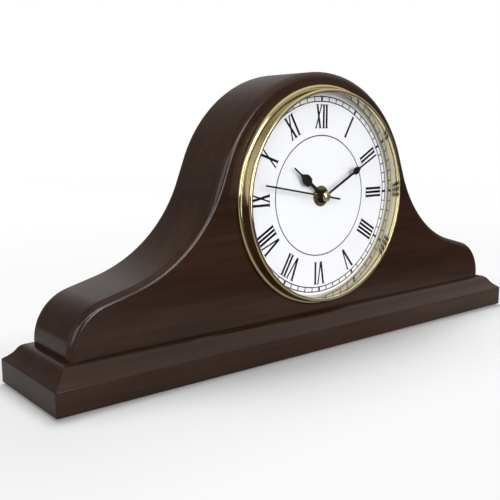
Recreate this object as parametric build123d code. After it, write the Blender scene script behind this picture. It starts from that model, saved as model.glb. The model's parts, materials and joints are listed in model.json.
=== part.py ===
from build123d import *
import math
import os

# Lengths are in millimetres and angles in degrees. +X runs to the right of
# someone facing the dial, the front faces -Y and +Z is up.

# Base
base_length = 406.0
base_depth = 75.0
base_height = 24.2
fascia_height = 14.6
moulding_width = 12.3
moulding_round = 6.2
moulding_slope = 59.0
felt_thickness = 1.2
felt_inset = 6.0
felt_corner = 8.0

# Tambour body, three glued layers on one outline; rises start at the base's top
body_length = 377.6
panel_thickness = 12.0
core_thickness = 25.0
crown_radius = 87.6
crown_rise = 74.0
hollow_radius = 90.4
shoulder_radius = 29.1
side_rise = 2.5
flank_run = 16.0
shoulder_run = 19.1
edge_round = 4.0
core_bore_radius = 76.0
access_radius = 48.0

# Joints of the body with the base
dowel_radius = 4.0
dowel_length = 24.0
dowel_reach = 95.0
screw_radius = 2.0
screw_reach = 150.0
screw_bite = 20.0
screw_head_radius = 4.0
screw_head_height = 2.6
screw_well_depth = 8.0
screw_slot_width = 1.0
screw_slot_depth = 0.9
wood_clearance = 0.05

# Dial insert; heights of the bezel start at the front of the case
dial_rise = 79.1
bezel_bore_radius = 69.9
skirt_wall = 0.7
skirt_depth = 11.0
spring_gap = 0.7
flange_overlap = 2.6
flange_bead_height = 2.9
flange_bead_width = 1.8
flange_bead_swell = 0.3
neck_wall = 0.95
neck_height = 7.4
crown_bead_radius = 1.2
bezel_height = 9.85
lip_overlap = 1.0
lens_seat_height = 7.6
lens_thickness = 1.2
lens_edge = 0.2
dial_setback = 2.2
dial_thickness = 0.6
backing_thickness = 1.6
sleeve_wall_front = 1.1
sleeve_wall_back = 1.4
retaining_ring_wall = 1.6
retaining_ring_depth = 3.0
insert_clearance = 0.1
spring_count = 3
spring_arc = 9.0
spring_thickness = 0.3
spring_length = 8.0

# Hands; heights start at the dial's face and angles run clockwise from twelve
hour_hand_height = 2.8
minute_hand_height = 4.2
second_hand_height = 5.5
hand_thickness = 0.45
hour_hand_reach = 33.4
minute_hand_reach = 57.2
second_hand_reach = 54.5
second_hand_tail = 13.5
hour_hand_angle = -53.6
minute_hand_angle = 62.0
second_hand_angle = -79.6
hour_hub_radius = 4.6
minute_hub_radius = 3.9
second_hub_radius = 2.6
hour_spade_start = 15.2
hour_spade_middle = 19.3
hour_spade_end = 27.3
hour_spade_half_width = 3.7
hour_stem_half_width = 1.25
minute_spade_start = 31.7
minute_spade_middle = 34.6
minute_spade_end = 40.5
minute_spade_half_width = 2.5
minute_stem_half_width = 0.8
hand_tip_half_width = 0.55
spade_bend = 0.5
second_root_half_width = 0.65
cap_radius = 3.4
cap_height = 1.5
cap_rim = 0.45

# Movement; depths start at its front and run to the rear, offsets start at the hands
movement_size = 56.0
movement_corner = 4.0
shell_wall = 1.4
front_wall = 1.2
gear_room = 13.0
cover_thickness = 1.4
cover_gap = 0.15
partition = 0.8
battery_radius = 7.0
battery_body = 49.3
battery_nub_radius = 2.7
battery_nub_length = 1.0
battery_gap = 0.3
notch_radius = 9.0
rubber_thickness = 0.8
rubber_radius = 12.0
bushing_radius = 4.0
bushing_flange_radius = 6.0
bushing_flange = 0.7
bushing_height = 2.0
washer_radius = 7.1
washer_thickness = 0.5
nut_radius = 5.7
nut_height = 1.4
nut_slot = 1.2
passing_clearance = 0.2
running_clearance = 0.05
fit_clearance = 0.02
hour_pipe_radius = 2.5
minute_tube_radius = 1.6
clutch_radius = 1.1
second_arbor_radius = 0.5
pivot_radius = 0.45
pipe_stand = 0.15

# Wheels and pinions
cannon_leaves = 12
motion_teeth = 36
motion_leaves = 10
hour_teeth = 40
set_leaves = 12
second_leaves = 8
third_teeth = 60
third_leaves = 8
centre_teeth = 64
second_teeth = 48
intermediate_leaves = 8
intermediate_teeth = 40
rotor_leaves = 8
motion_module = 0.4375
third_module = 0.3
intermediate_module = 0.375
rotor_module = 0.325
motion_direction = 169.0
set_direction = 120.0
third_direction = -5.6
intermediate_direction = 65.0
rotor_direction = 45.0
addendum = 0.72
dedendum = 1.1
tooth_root_share = 0.5
tooth_tip_share = 0.2
wheel_thickness = 1.0
leaf_overhang = 0.2
first_layer = 0.6
layer_pitch = 1.9
boss_wall = 0.45
boss_gap = 0.35
pivot_depth = 0.6
spider_radius = 2.6
spider_thickness = 0.3
knob_radius = 6.5
knob_thickness = 4.5
knob_flutes = 12
knob_flute_radius = 1.1
knob_gap = 0.4
set_stem_radius = 1.0

# Motor and electronics
magnet_radius = 2.7
magnet_length = 2.2
stator_gap = 0.4
stator_ring = 2.2
stator_thickness = 1.0
stator_depth = 8.7
coil_inset = 4.0
coil_core_width = 3.4
coil_core_thickness = 0.8
coil_core_low = 3.0
coil_core_high = 22.4
bobbin_low = 6.6
bobbin_high = 19.2
bobbin_flange = 6.2
bobbin_flange_thickness = 1.0
bobbin_tube_wall = 0.5
winding_radius = 2.9
coil_gap = 0.3
stator_screw_radius = 0.7
stator_screw_head_radius = 1.3
stator_screw_head = 0.8
post_radius = 1.4
cover_post_radius = 2.0
cover_post_low = -1.5
cover_post_sink = 0.5
cover_screw_radius = 0.8
cover_screw_head_radius = 1.6
cover_screw_head = 0.9
cover_screw_length = 7.0
board_depth = 12.4
board_thickness = 0.8
board_width = 6.4
board_gap = 0.3
board_post_reach = 22.4
chip_radius = 2.6
chip_height = 0.9
chip_offset = 12.0
crystal_radius = 1.0
crystal_length = 6.0
crystal_offset = -12.0
contact_thickness = 0.35
contact_room = 1.5
contact_height = 8.0
contact_span = 5.0
contact_tail = 1.6
contact_foot = 4.0
dimple_radius = 2.5
dimple_height = 0.9

# Places that follow from the sizes above
base_top = felt_thickness + base_height
case_front = -(2 * panel_thickness + core_thickness) / 2
core_front = case_front + panel_thickness
core_back = core_front + core_thickness
case_back = core_back + panel_thickness
hand_z = base_top + dial_rise
hole_radius = bezel_bore_radius + skirt_wall + spring_gap
insert_radius = bezel_bore_radius - insert_clearance
dial_front = case_front + dial_setback
dial_back = dial_front + dial_thickness
backing_back = dial_back + backing_thickness
movement_front = backing_back + rubber_thickness
cover_seat = movement_front + front_wall + gear_room
movement_back = cover_seat + cover_thickness
half_size = movement_size / 2
inner_half = half_size - shell_wall
battery_drop = inner_half - battery_gap - battery_radius
battery_y = movement_front + front_wall + battery_gap + battery_radius
battery_start = -inner_half + contact_room
dimple_crest = battery_start + battery_body + battery_nub_length + battery_gap / 2
negative_face = -inner_half
positive_face = dimple_crest + dimple_height + contact_thickness
partition_low = -battery_drop + battery_radius + battery_gap
partition_high = partition_low + partition
motion_distance = motion_module * (cannon_leaves + motion_teeth) / 2
hour_module = 2 * motion_distance / (motion_leaves + hour_teeth)
set_distance = motion_module * (set_leaves + motion_teeth) / 2
third_distance = third_module * (second_leaves + third_teeth) / 2
centre_module = 2 * third_distance / (third_leaves + centre_teeth)
intermediate_distance = intermediate_module * (intermediate_leaves + second_teeth) / 2
rotor_distance = rotor_module * (rotor_leaves + intermediate_teeth) / 2
coil_x = inner_half - coil_inset
cover_post_x = inner_half - cover_post_radius + cover_post_sink
board_z = partition_high + board_gap + board_width / 2


def turned(angle, length, start=(0.0, 0.0)):
    """Point at a distance from start, with the angle counted from +X towards +Z."""
    bend = math.radians(angle)
    return start[0] + length * math.cos(bend), start[1] + length * math.sin(bend)


hands_at = (0.0, 0.0)
motion_at = turned(motion_direction, motion_distance)
set_at = turned(set_direction, set_distance, motion_at)
third_at = turned(third_direction, third_distance)
intermediate_at = turned(intermediate_direction, intermediate_distance)
rotor_at = turned(rotor_direction, rotor_distance, intermediate_at)


def front_view(y):
    """Plane at depth y, drawn as the front shows it: local x is X, local y is Z."""
    return Plane(origin=(0, y, 0), x_dir=(1, 0, 0), z_dir=(0, -1, 0))


def between(sketch, front, back):
    """Solid of a face drawn in the front view, from depth front to depth back."""
    return extrude(front_view(back) * sketch, back - front)


def raised(sketch, low, high):
    """Solid of a face drawn in plan, from height low to height high."""
    return extrude(Pos(0, 0, low) * sketch, high - low)


def about_hands(sketch):
    """Solid turned about the hands' axis from (radius, height over the case front)."""
    section = Plane(origin=(0, case_front, hand_z), x_dir=(1, 0, 0), z_dir=(0, 0, -1))
    return revolve(section * sketch, Axis((0, 0, hand_z), (0, 1, 0)))


def beside_hands(at):
    """Place in the front view of an offset from the hands' axis."""
    return Pos(at[0], hand_z + at[1])


def rod(at, radius, front, back):
    """Round bar parallel to the hands' axis."""
    return between(beside_hands(at) * Circle(radius), front, back)


def ring(at, outer, inner, front, back):
    """Round tube parallel to the hands' axis."""
    return between(beside_hands(at) * (Circle(outer) - Circle(inner)), front, back)


def inside(depth):
    """Y of a depth in the movement."""
    return movement_front + depth


def above_dial(height):
    """Y of a height over the dial's face."""
    return dial_front - height


# Case

def circle_crossing(first, first_reach, second, second_reach):
    """Upper outer point at given distances from two points."""
    run_x, run_z = second[0] - first[0], second[1] - first[1]
    span = math.hypot(run_x, run_z)
    along = (first_reach**2 - second_reach**2 + span**2) / (2 * span)
    across = math.sqrt(first_reach**2 - along**2)
    unit_x, unit_z = run_x / span, run_z / span
    return (
        first[0] + along * unit_x - across * unit_z,
        first[1] + along * unit_z + across * unit_x,
    )


def direction(start, end):
    """Angle of the way from start to end."""
    return math.degrees(math.atan2(end[1] - start[1], end[0] - start[0]))


def body_outline():
    """Face of the tambour: a round crown, hollow flanks and drooping shoulders."""
    crown = (0.0, base_top + crown_rise)
    shoulder = (body_length / 2 - shoulder_radius, base_top + side_rise)
    crown_reach = math.hypot(crown_radius + hollow_radius, flank_run)
    shoulder_reach = math.hypot(shoulder_radius + hollow_radius, shoulder_run)
    hollow = circle_crossing(crown, crown_reach, shoulder, shoulder_reach)
    flank = direction(crown, hollow) + math.degrees(math.atan2(flank_run, crown_radius + hollow_radius))
    shoulder_lean = math.degrees(math.atan2(shoulder_run, shoulder_radius + hollow_radius))
    droop = direction(shoulder, hollow) - shoulder_lean
    crown_end = turned(flank, crown_radius, crown)
    hollow_top = turned(flank + 180, hollow_radius, hollow)
    hollow_middle = turned((flank + droop) / 2 + 180, hollow_radius, hollow)
    hollow_foot = turned(droop + 180, hollow_radius, hollow)
    shoulder_top = turned(droop, shoulder_radius, shoulder)
    shoulder_middle = turned(droop / 2, shoulder_radius, shoulder)
    side_top = turned(0, shoulder_radius, shoulder)
    crown_top = turned(90, crown_radius, crown)
    edges = [ThreePointArc(crown_end, crown_top, (-crown_end[0], crown_end[1]))]
    for side in (1, -1):
        def at(point):
            return side * point[0], point[1]

        edges += [
            Line(at(crown_end), at(hollow_top)),
            ThreePointArc(at(hollow_top), at(hollow_middle), at(hollow_foot)),
            Line(at(hollow_foot), at(shoulder_top)),
            ThreePointArc(at(shoulder_top), at(shoulder_middle), at(side_top)),
            Line(at(side_top), at((side_top[0], base_top))),
        ]
    edges.append(Line((-body_length / 2, base_top), (body_length / 2, base_top)))
    return make_face(edges)


def rounded_panel(front, back, round_front):
    """Outer layer of the body with its show edge rounded over."""
    panel = between(body_outline(), front, back)
    show_face = panel.faces().sort_by(Axis.Y)[0 if round_front else -1]
    show_edges = show_face.edges().filter_by(lambda edge: edge.center().Z > base_top + edge_round / 2)
    return fillet(show_edges, edge_round)


def base_holes(x):
    """Well and way for a screw that is driven up through the base at x."""
    well = Pos(x, 0, felt_thickness) * Cylinder(
        screw_head_radius + passing_clearance, screw_well_depth, align=(Align.CENTER, Align.CENTER, Align.MIN)
    )
    way = Pos(x, 0, felt_thickness) * Cylinder(
        screw_radius + wood_clearance, base_height + screw_bite, align=(Align.CENTER, Align.CENTER, Align.MIN)
    )
    return well + way


def dowel(x, radius):
    """Upright round peg centred on the joint of base and body at x."""
    return Pos(x, 0, base_top) * Cylinder(radius, dowel_length)


def joint_holes():
    """Everything that is drilled for the dowels and screws."""
    holes = [base_holes(side * screw_reach) for side in (-1, 1)]
    holes += [dowel(side * dowel_reach, dowel_radius + wood_clearance) for side in (-1, 1)]
    return holes


def front_panel():
    """Front layer, bored for the dial insert."""
    return rounded_panel(case_front, core_front, True) - rod(hands_at, hole_radius, case_front, core_front)


def case_core():
    """Middle layer, bored wide for the movement and drilled for dowels and screws."""
    core = between(body_outline(), core_front, core_back)
    return core - rod(hands_at, core_bore_radius, core_front, core_back) - joint_holes()


def back_panel():
    """Rear layer with the round opening that gives access to the movement."""
    return rounded_panel(core_back, case_back, False) - rod(hands_at, access_radius, core_back, case_back)


def moulding_face(half_width):
    """Section of the base across a width, with the same moulding on both sides."""
    corner_x, corner_z = half_width, felt_thickness + fascia_height
    turn = math.radians(moulding_slope)
    joint_x = half_width - moulding_width + moulding_round * math.sin(turn)
    joint_z = base_top - moulding_round * (1 - math.cos(turn))
    flat_x = half_width - moulding_width
    edges = [Line((-half_width, felt_thickness), (half_width, felt_thickness))]
    edges.append(Line((-flat_x, base_top), (flat_x, base_top)))
    for side in (-1, 1):
        edges += [
            Line((side * half_width, felt_thickness), (side * corner_x, corner_z)),
            TangentArc(
                (side * joint_x, joint_z),
                (side * corner_x, corner_z),
                tangent=(side * math.cos(turn), -math.sin(turn)),
            ),
            TangentArc((side * flat_x, base_top), (side * joint_x, joint_z), tangent=(side, 0)),
        ]
    return make_face(edges)


def base_plinth():
    """Moulded base: a fascia and an ogee that runs round all four sides."""
    along = extrude(Plane(origin=(-base_length / 2, 0, 0), x_dir=(0, 1, 0), z_dir=(1, 0, 0))
                    * moulding_face(base_depth / 2), base_length)
    across = between(moulding_face(base_length / 2), -base_depth / 2, base_depth / 2)
    return (along & across) - joint_holes()


def base_felt():
    """Felt sheet glued under the base."""
    sheet = RectangleRounded(base_length - 2 * felt_inset, base_depth - 2 * felt_inset, felt_corner)
    return raised(sheet, 0, felt_thickness)


def base_screw(x):
    """Slotted wood screw, head down in its well."""
    seat = felt_thickness + screw_well_depth
    head = Pos(x, 0, seat) * Cylinder(
        screw_head_radius, screw_head_height, align=(Align.CENTER, Align.CENTER, Align.MAX)
    )
    shank = Pos(x, 0, seat) * Cylinder(
        screw_radius, base_top + screw_bite - felt_thickness - seat - wood_clearance,
        align=(Align.CENTER, Align.CENTER, Align.MIN),
    )
    slot = Pos(x, 0, seat - screw_head_height) * Box(
        2 * screw_head_radius, screw_slot_width, screw_slot_depth,
        align=(Align.CENTER, Align.CENTER, Align.MIN),
    )
    return head + shank - slot


# Dial insert

def bezel():
    """Brass bezel: flange bead, sloping neck, crown bead, lens lip and a skirt into the panel."""
    skirt_radius = bezel_bore_radius + skirt_wall
    flange_radius = hole_radius + flange_overlap
    bead_inner = flange_radius - flange_bead_width
    neck_radius = bezel_bore_radius + neck_wall
    lip_radius = bezel_bore_radius - lip_overlap
    crown_middle = (lip_radius + crown_bead_radius, bezel_height - crown_bead_radius)
    crown_top = (crown_middle[0], bezel_height)
    lip_edge = (lip_radius, crown_middle[1])
    profile = [
        Polyline(
            lip_edge, (lip_radius, lens_seat_height), (bezel_bore_radius, lens_seat_height),
            (bezel_bore_radius, -skirt_depth), (skirt_radius, -skirt_depth), (skirt_radius, 0),
            (flange_radius, 0),
        ),
        ThreePointArc(
            (flange_radius, 0),
            (flange_radius + flange_bead_swell, flange_bead_height / 2),
            (bead_inner, flange_bead_height),
        ),
        Line((bead_inner, flange_bead_height), (neck_radius, neck_height)),
        ThreePointArc(
            (neck_radius, neck_height),
            turned(20, crown_bead_radius, crown_middle),
            crown_top,
        ),
        ThreePointArc(crown_top, turned(135, crown_bead_radius, crown_middle), lip_edge),
    ]
    return about_hands(make_face(profile))


def lens():
    """Flat glass with eased edges, seated behind the bezel's lip."""
    back = case_front - lens_seat_height + lens_thickness
    glass = rod(hands_at, insert_radius, back - lens_thickness, back)
    return chamfer(glass.edges(), lens_edge)


def reflector_sleeve():
    """Polished flared sleeve that holds the dial away from the lens."""
    dial_height = -dial_setback
    lens_height = lens_seat_height - lens_thickness
    return about_hands(
        make_face(
            Polyline(
                (insert_radius - sleeve_wall_back, dial_height),
                (insert_radius, dial_height),
                (insert_radius, lens_height),
                (insert_radius - sleeve_wall_front, lens_height),
                close=True,
            )
        )
    )


def dial_plate():
    """Thin round dial with a hole for the bushing."""
    return ring(hands_at, insert_radius, bushing_radius + passing_clearance, dial_front, dial_back)


def dial_backing():
    """Stiff disc behind the dial that carries the movement."""
    return ring(hands_at, insert_radius, bushing_radius + passing_clearance, dial_back, backing_back)


def dial_retaining_ring():
    """Ring pressed into the skirt behind the backing."""
    inner = insert_radius - retaining_ring_wall
    return ring(hands_at, insert_radius, inner, backing_back, backing_back + retaining_ring_depth)


def bezel_spring(angle):
    """Bowed leaf between the bezel's skirt and the panel's hole, at an angle from +X."""
    foot = bezel_bore_radius + skirt_wall + fit_clearance
    crest = hole_radius - fit_clearance
    low, high = -(panel_thickness + spring_length) / 2, -(panel_thickness - spring_length) / 2
    middle = (low + high) / 2
    leaf = make_face([
        ThreePointArc((foot + spring_thickness, low), (crest, middle), (foot + spring_thickness, high)),
        Line((foot + spring_thickness, high), (foot, high)),
        ThreePointArc((foot, high), (crest - spring_thickness, middle), (foot, low)),
        Line((foot, low), (foot + spring_thickness, low)),
    ])
    section = Plane(origin=(0, case_front, hand_z), x_dir=(1, 0, 0), z_dir=(0, 0, -1))
    axis = Axis((0, 0, hand_z), (0, -1, 0))
    return revolve(section * leaf, axis, spring_arc).rotate(axis, angle - spring_arc / 2)


# Hands

def spade_hand(reach, hub, stem, start, middle, end, half_width):
    """Flat outline of a hand that points to twelve, with a round-footed spade part of the way along."""
    tip = hand_tip_half_width
    bend = spade_bend * (end - middle)
    half = make_face([
        Polyline((0, reach), (0, 0), (stem, 0), (stem, start)),
        Bezier((stem, start), (half_width, start), (half_width, middle)),
        Bezier((half_width, middle), (half_width, middle + bend), (tip, end - bend), (tip, end)),
        Polyline((tip, end), (tip, reach), (0, reach)),
    ])
    return half + mirror(half, Plane.YZ) + Circle(hub)


def mounted_hand(outline, bore, height, angle):
    """Hand plate with its hole, turned clockwise to the shown time."""
    plate = Rot(0, 0, -angle) * outline - Circle(bore)
    return between(beside_hands(hands_at) * plate, above_dial(height + hand_thickness), above_dial(height))


def hour_hand():
    """Short spade hand on the hour pipe."""
    outline = spade_hand(
        hour_hand_reach, hour_hub_radius, hour_stem_half_width,
        hour_spade_start, hour_spade_middle, hour_spade_end, hour_spade_half_width,
    )
    return mounted_hand(outline, hour_pipe_radius, hour_hand_height, hour_hand_angle)


def minute_hand():
    """Long spade hand on the minute tube."""
    outline = spade_hand(
        minute_hand_reach, minute_hub_radius, minute_stem_half_width,
        minute_spade_start, minute_spade_middle, minute_spade_end, minute_spade_half_width,
    )
    return mounted_hand(outline, minute_tube_radius, minute_hand_height, minute_hand_angle)


def second_hand():
    """Slender tapered hand with a counterpoise tail."""
    blade = make_face(Polyline(
        (second_root_half_width, -second_hand_tail), (hand_tip_half_width, second_hand_reach),
        (-hand_tip_half_width, second_hand_reach), (-second_root_half_width, -second_hand_tail), close=True,
    ))
    outline = blade + Circle(second_hub_radius)
    return mounted_hand(outline, second_arbor_radius, second_hand_height, second_hand_angle)


def hand_cap():
    """Domed cap on the second hand's hub."""
    foot = second_hand_height + hand_thickness - dial_setback
    profile = make_face([
        Polyline((cap_radius, foot + cap_rim), (cap_radius, foot), (0, foot), (0, foot + cap_height)),
        RadiusArc((0, foot + cap_height), (cap_radius, foot + cap_rim),
                  (cap_radius**2 + (cap_height - cap_rim)**2) / (2 * (cap_height - cap_rim))),
    ])
    bore = rod(hands_at, second_arbor_radius, above_dial(second_tip()), above_dial(second_hand_height))
    return about_hands(profile) - bore


# Gears

def gear_face(teeth, module, phase):
    """Straight-flanked toothed outline with one tooth at the phase angle."""
    pitch_radius = module * teeth / 2
    root, tip = pitch_radius - dedendum * module, pitch_radius + addendum * module
    step = 360.0 / teeth
    points = []
    for tooth in range(teeth):
        middle = phase + tooth * step
        points += [
            turned(middle - step * tooth_root_share / 2, root),
            turned(middle - step * tooth_tip_share / 2, tip),
            turned(middle + step * tooth_tip_share / 2, tip),
            turned(middle + step * tooth_root_share / 2, root),
        ]
    return make_face(Polyline(*points, close=True))


def gear(at, teeth, module, phase, span):
    """Toothed disc between two depths."""
    return between(beside_hands(at) * gear_face(teeth, module, phase), *span)


def mesh_phase(teeth, phase, mate_teeth, way):
    """Phase of a mate, lying in a direction, whose gap meets a tooth of this gear."""
    return way + 180 - (180 - teeth * (way - phase)) / mate_teeth


def wheel_span(layer):
    """Front and back of the wheel in a layer of the train."""
    front = inside(front_wall + first_layer + layer * layer_pitch)
    return front, front + wheel_thickness


def leaf_span(layer):
    """Front and back of the pinion that meets the wheel in a layer."""
    front, back = wheel_span(layer)
    return front - leaf_overhang, back + leaf_overhang


hour_layer, motion_layer, centre_layer, third_layer, second_layer, intermediate_layer = range(6)


def second_tip():
    """Height over the dial of the seconds arbor's front end."""
    return second_hand_height + hand_thickness + cap_rim


def hour_wheel():
    """Hour wheel with its pipe through the bushing."""
    phase = mesh_phase(motion_leaves, 0, hour_teeth, motion_direction + 180)
    front, back = wheel_span(hour_layer)
    pipe = rod(hands_at, hour_pipe_radius, above_dial(hour_hand_height + hand_thickness + pipe_stand), back)
    bore = rod(hands_at, minute_tube_radius + running_clearance, above_dial(minute_hand_height), back)
    return gear(hands_at, hour_teeth, hour_module, phase, (front, back)) + pipe - bore


def cannon_pinion():
    """Minute tube with its pinion and the seat of the slipping clutch."""
    front, back = leaf_span(motion_layer)
    top = minute_hand_height + hand_thickness + pipe_stand
    tube = rod(hands_at, minute_tube_radius, above_dial(top), back)
    leaves = gear(hands_at, cannon_leaves, motion_module, 0, (front, back))
    clutch_end = leaf_span(third_layer)[0] - pipe_stand
    seat = rod(hands_at, clutch_radius, back, clutch_end)
    bore = rod(hands_at, second_arbor_radius + running_clearance, above_dial(second_hand_height), clutch_end)
    return tube + leaves + seat - bore


def friction_spring():
    """Sprung washer that lets the cannon pinion slip when the hands are set."""
    back = leaf_span(motion_layer)[1] + spider_thickness
    return ring(hands_at, spider_radius, clutch_radius, back - spider_thickness, back)


def centre_wheel():
    """Wheel that turns once an hour and drives the cannon pinion through the clutch."""
    phase = mesh_phase(third_leaves, 0, centre_teeth, third_direction + 180)
    front, back = wheel_span(centre_layer)
    wheel = gear(hands_at, centre_teeth, centre_module, phase, (front, back))
    hub = rod(hands_at, spider_radius, front - leaf_overhang, back + leaf_overhang)
    bore = rod(hands_at, clutch_radius + running_clearance, front - leaf_overhang, back + leaf_overhang)
    return wheel + hub - bore


def motion_wheel():
    """Motion wheel and pinion that gear the hour hand down from the minute hand."""
    phase = mesh_phase(cannon_leaves, 0, motion_teeth, motion_direction)
    wheel = gear(motion_at, motion_teeth, motion_module, phase, wheel_span(motion_layer))
    leaves_front = leaf_span(hour_layer)[0]
    leaves = gear(motion_at, motion_leaves, hour_module, 0, (leaves_front, wheel_span(motion_layer)[0]))
    bore = rod(motion_at, pivot_radius + running_clearance, leaves_front, wheel_span(motion_layer)[1])
    return wheel + leaves - bore


def arbor(at, radius=pivot_radius):
    """Spindle between its bearings in the shell and the cover."""
    return rod(at, radius, inside(front_wall - pivot_depth / 2), cover_seat + pivot_depth / 2)


def third_wheel():
    """Third wheel, pinion and arbor."""
    phase = mesh_phase(second_leaves, 0, third_teeth, third_direction)
    wheel = gear(third_at, third_teeth, third_module, phase, wheel_span(third_layer))
    leaves = gear(third_at, third_leaves, centre_module, 0, leaf_span(centre_layer))
    hub = rod(third_at, pivot_radius + boss_wall, leaf_span(centre_layer)[1], wheel_span(third_layer)[0])
    return wheel + leaves + hub + arbor(third_at)


def second_wheel():
    """Seconds wheel, pinion and the long arbor that carries the second hand."""
    wheel = gear(hands_at, second_teeth, intermediate_module, 0, wheel_span(second_layer))
    leaves = gear(hands_at, second_leaves, third_module, 0, leaf_span(third_layer))
    hub = rod(hands_at, pivot_radius + boss_wall, leaf_span(third_layer)[1], wheel_span(second_layer)[0])
    spindle = rod(hands_at, second_arbor_radius, above_dial(second_tip()), cover_seat + pivot_depth / 2)
    return wheel + leaves + hub + spindle


def intermediate_wheel():
    """Wheel and pinion between the motor and the seconds wheel."""
    phase = mesh_phase(second_teeth, 0, intermediate_leaves, intermediate_direction)
    wheel = gear(intermediate_at, intermediate_teeth, rotor_module, 0, wheel_span(intermediate_layer))
    leaves_span = (leaf_span(second_layer)[0], wheel_span(intermediate_layer)[0])
    leaves = gear(intermediate_at, intermediate_leaves, intermediate_module, phase, leaves_span)
    return wheel + leaves + arbor(intermediate_at)


def stator_span():
    """Front and back of the stator plate."""
    front = inside(stator_depth)
    return front, front + stator_thickness


def rotor():
    """Magnet and pinion of the stepping motor."""
    phase = mesh_phase(intermediate_teeth, 0, rotor_leaves, rotor_direction)
    middle = sum(stator_span()) / 2
    magnet = rod(rotor_at, magnet_radius, middle - magnet_length / 2, middle + magnet_length / 2)
    leaves = gear(rotor_at, rotor_leaves, rotor_module, phase, leaf_span(intermediate_layer))
    return magnet + leaves + arbor(rotor_at)


def set_stem():
    """Setting stem with the pinion that turns the motion wheel."""
    phase = mesh_phase(motion_teeth, mesh_phase(cannon_leaves, 0, motion_teeth, motion_direction),
                       set_leaves, set_direction)
    leaves = gear(set_at, set_leaves, motion_module, phase, leaf_span(motion_layer))
    pivot = rod(set_at, pivot_radius, inside(front_wall - pivot_depth / 2), leaf_span(motion_layer)[0])
    tail = movement_back + knob_gap + knob_thickness / 2
    stem = rod(set_at, set_stem_radius, leaf_span(motion_layer)[0], tail)
    return leaves + pivot + stem


def set_knob():
    """Fluted setting knob behind the cover."""
    front = movement_back + knob_gap
    flutes = PolarLocations(knob_radius + knob_flute_radius / 2, knob_flutes) * Circle(knob_flute_radius)
    outline = Circle(knob_radius) - flutes
    knob = between(beside_hands(set_at) * outline, front, front + knob_thickness)
    return knob - rod(set_at, set_stem_radius, front, front + knob_thickness / 2)


# Movement case

def front_boss(at, radius, top):
    """Bearing post on the shell's front wall that ends below a depth."""
    return rod(at, radius + boss_wall, inside(0), top - boss_gap)


def shell_bosses():
    """Bearing posts of the train, each with the front of what turns on it."""
    return [
        (third_at, leaf_span(centre_layer)[0]),
        (intermediate_at, leaf_span(second_layer)[0]),
        (rotor_at, sum(stator_span()) / 2 - magnet_length / 2),
        (set_at, leaf_span(motion_layer)[0]),
    ]


def cover_posts():
    """Offsets of the four screws that hold the cover."""
    return [(side * cover_post_x, z) for side in (-1, 1) for z in (cover_post_low, cover_post_x)]


def stator_posts():
    """Offsets of the two screws that hold the stator and coil core."""
    return [(coil_x, (coil_core_low + bobbin_low) / 2), (coil_x, (bobbin_high + coil_core_high) / 2)]


def board_posts():
    """Offsets of the two posts under the circuit board."""
    return [(side * board_post_reach, board_z) for side in (-1, 1)]


def pocket(low, high, front, back):
    """Room inside the shell between two heights from the hands."""
    room = Pos(0, hand_z + (low + high) / 2) * Rectangle(2 * inner_half, high - low)
    return between(room, front, back)


def contact_rest():
    """What the end wall needs to reach the positive contact."""
    wall_middle = inner_half + shell_wall / 2
    plan = Pos((positive_face + wall_middle) / 2, battery_y) * Rectangle(
        wall_middle - positive_face, 2 * contact_span
    )
    middle = hand_z - battery_drop
    return raised(plan, middle - contact_height / 2, middle + contact_height / 2)


def movement_shell():
    """Moulded front shell: gear room, battery trough, bearing posts and screw posts."""
    outline = beside_hands(hands_at) * RectangleRounded(movement_size, movement_size, movement_corner)
    floor = inside(front_wall)
    shell = between(outline, inside(0), movement_back)
    lid_middle = hand_z + (partition_low + half_size) / 2
    lid_room = Pos(0, lid_middle) * Rectangle(movement_size, half_size - partition_low)
    shell -= between(lid_room, cover_seat, movement_back)
    shell -= pocket(partition_high, inner_half, floor, movement_back)
    shell -= pocket(-inner_half, partition_low, floor, movement_back)
    tail_front = inside(board_depth - contact_tail / 2) - contact_thickness
    tail_room = contact_thickness + battery_gap
    for face, side in ((negative_face, -1), (positive_face, 1)):
        notch = Pos(face - side * tail_room / 2, hand_z + (partition_low + partition_high) / 2)
        shell -= between(notch * Rectangle(tail_room, 2 * partition), tail_front, movement_back)
    shell -= Pos(0, movement_back, hand_z - half_size) * Cylinder(notch_radius, 4 * shell_wall)
    shell += contact_rest()
    for at in cover_posts():
        shell += rod(at, cover_post_radius, inside(0), cover_seat)
    for at in stator_posts():
        shell += rod(at, post_radius, inside(0), stator_span()[0])
    for at in board_posts():
        shell += rod(at, post_radius, inside(0), inside(board_depth))
    for at, top in shell_bosses():
        shell += front_boss(at, pivot_radius + running_clearance, top)
    shell += rod(motion_at, pivot_radius, inside(0), wheel_span(motion_layer)[1] + boss_gap)
    shell -= rod(hands_at, bushing_radius + fit_clearance, inside(0), floor)
    shell -= rod(hands_at, bushing_flange_radius + fit_clearance, floor - bushing_flange, floor)
    for at, top in shell_bosses():
        shell -= rod(at, pivot_radius + running_clearance, inside(front_wall - pivot_depth), top)
    for at in cover_posts():
        shell -= rod(at, cover_screw_radius + fit_clearance, cover_seat - cover_screw_length, cover_seat)
    for at in stator_posts():
        shell -= rod(at, stator_screw_radius + fit_clearance, inside(front_wall), stator_span()[0])
    return shell


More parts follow.
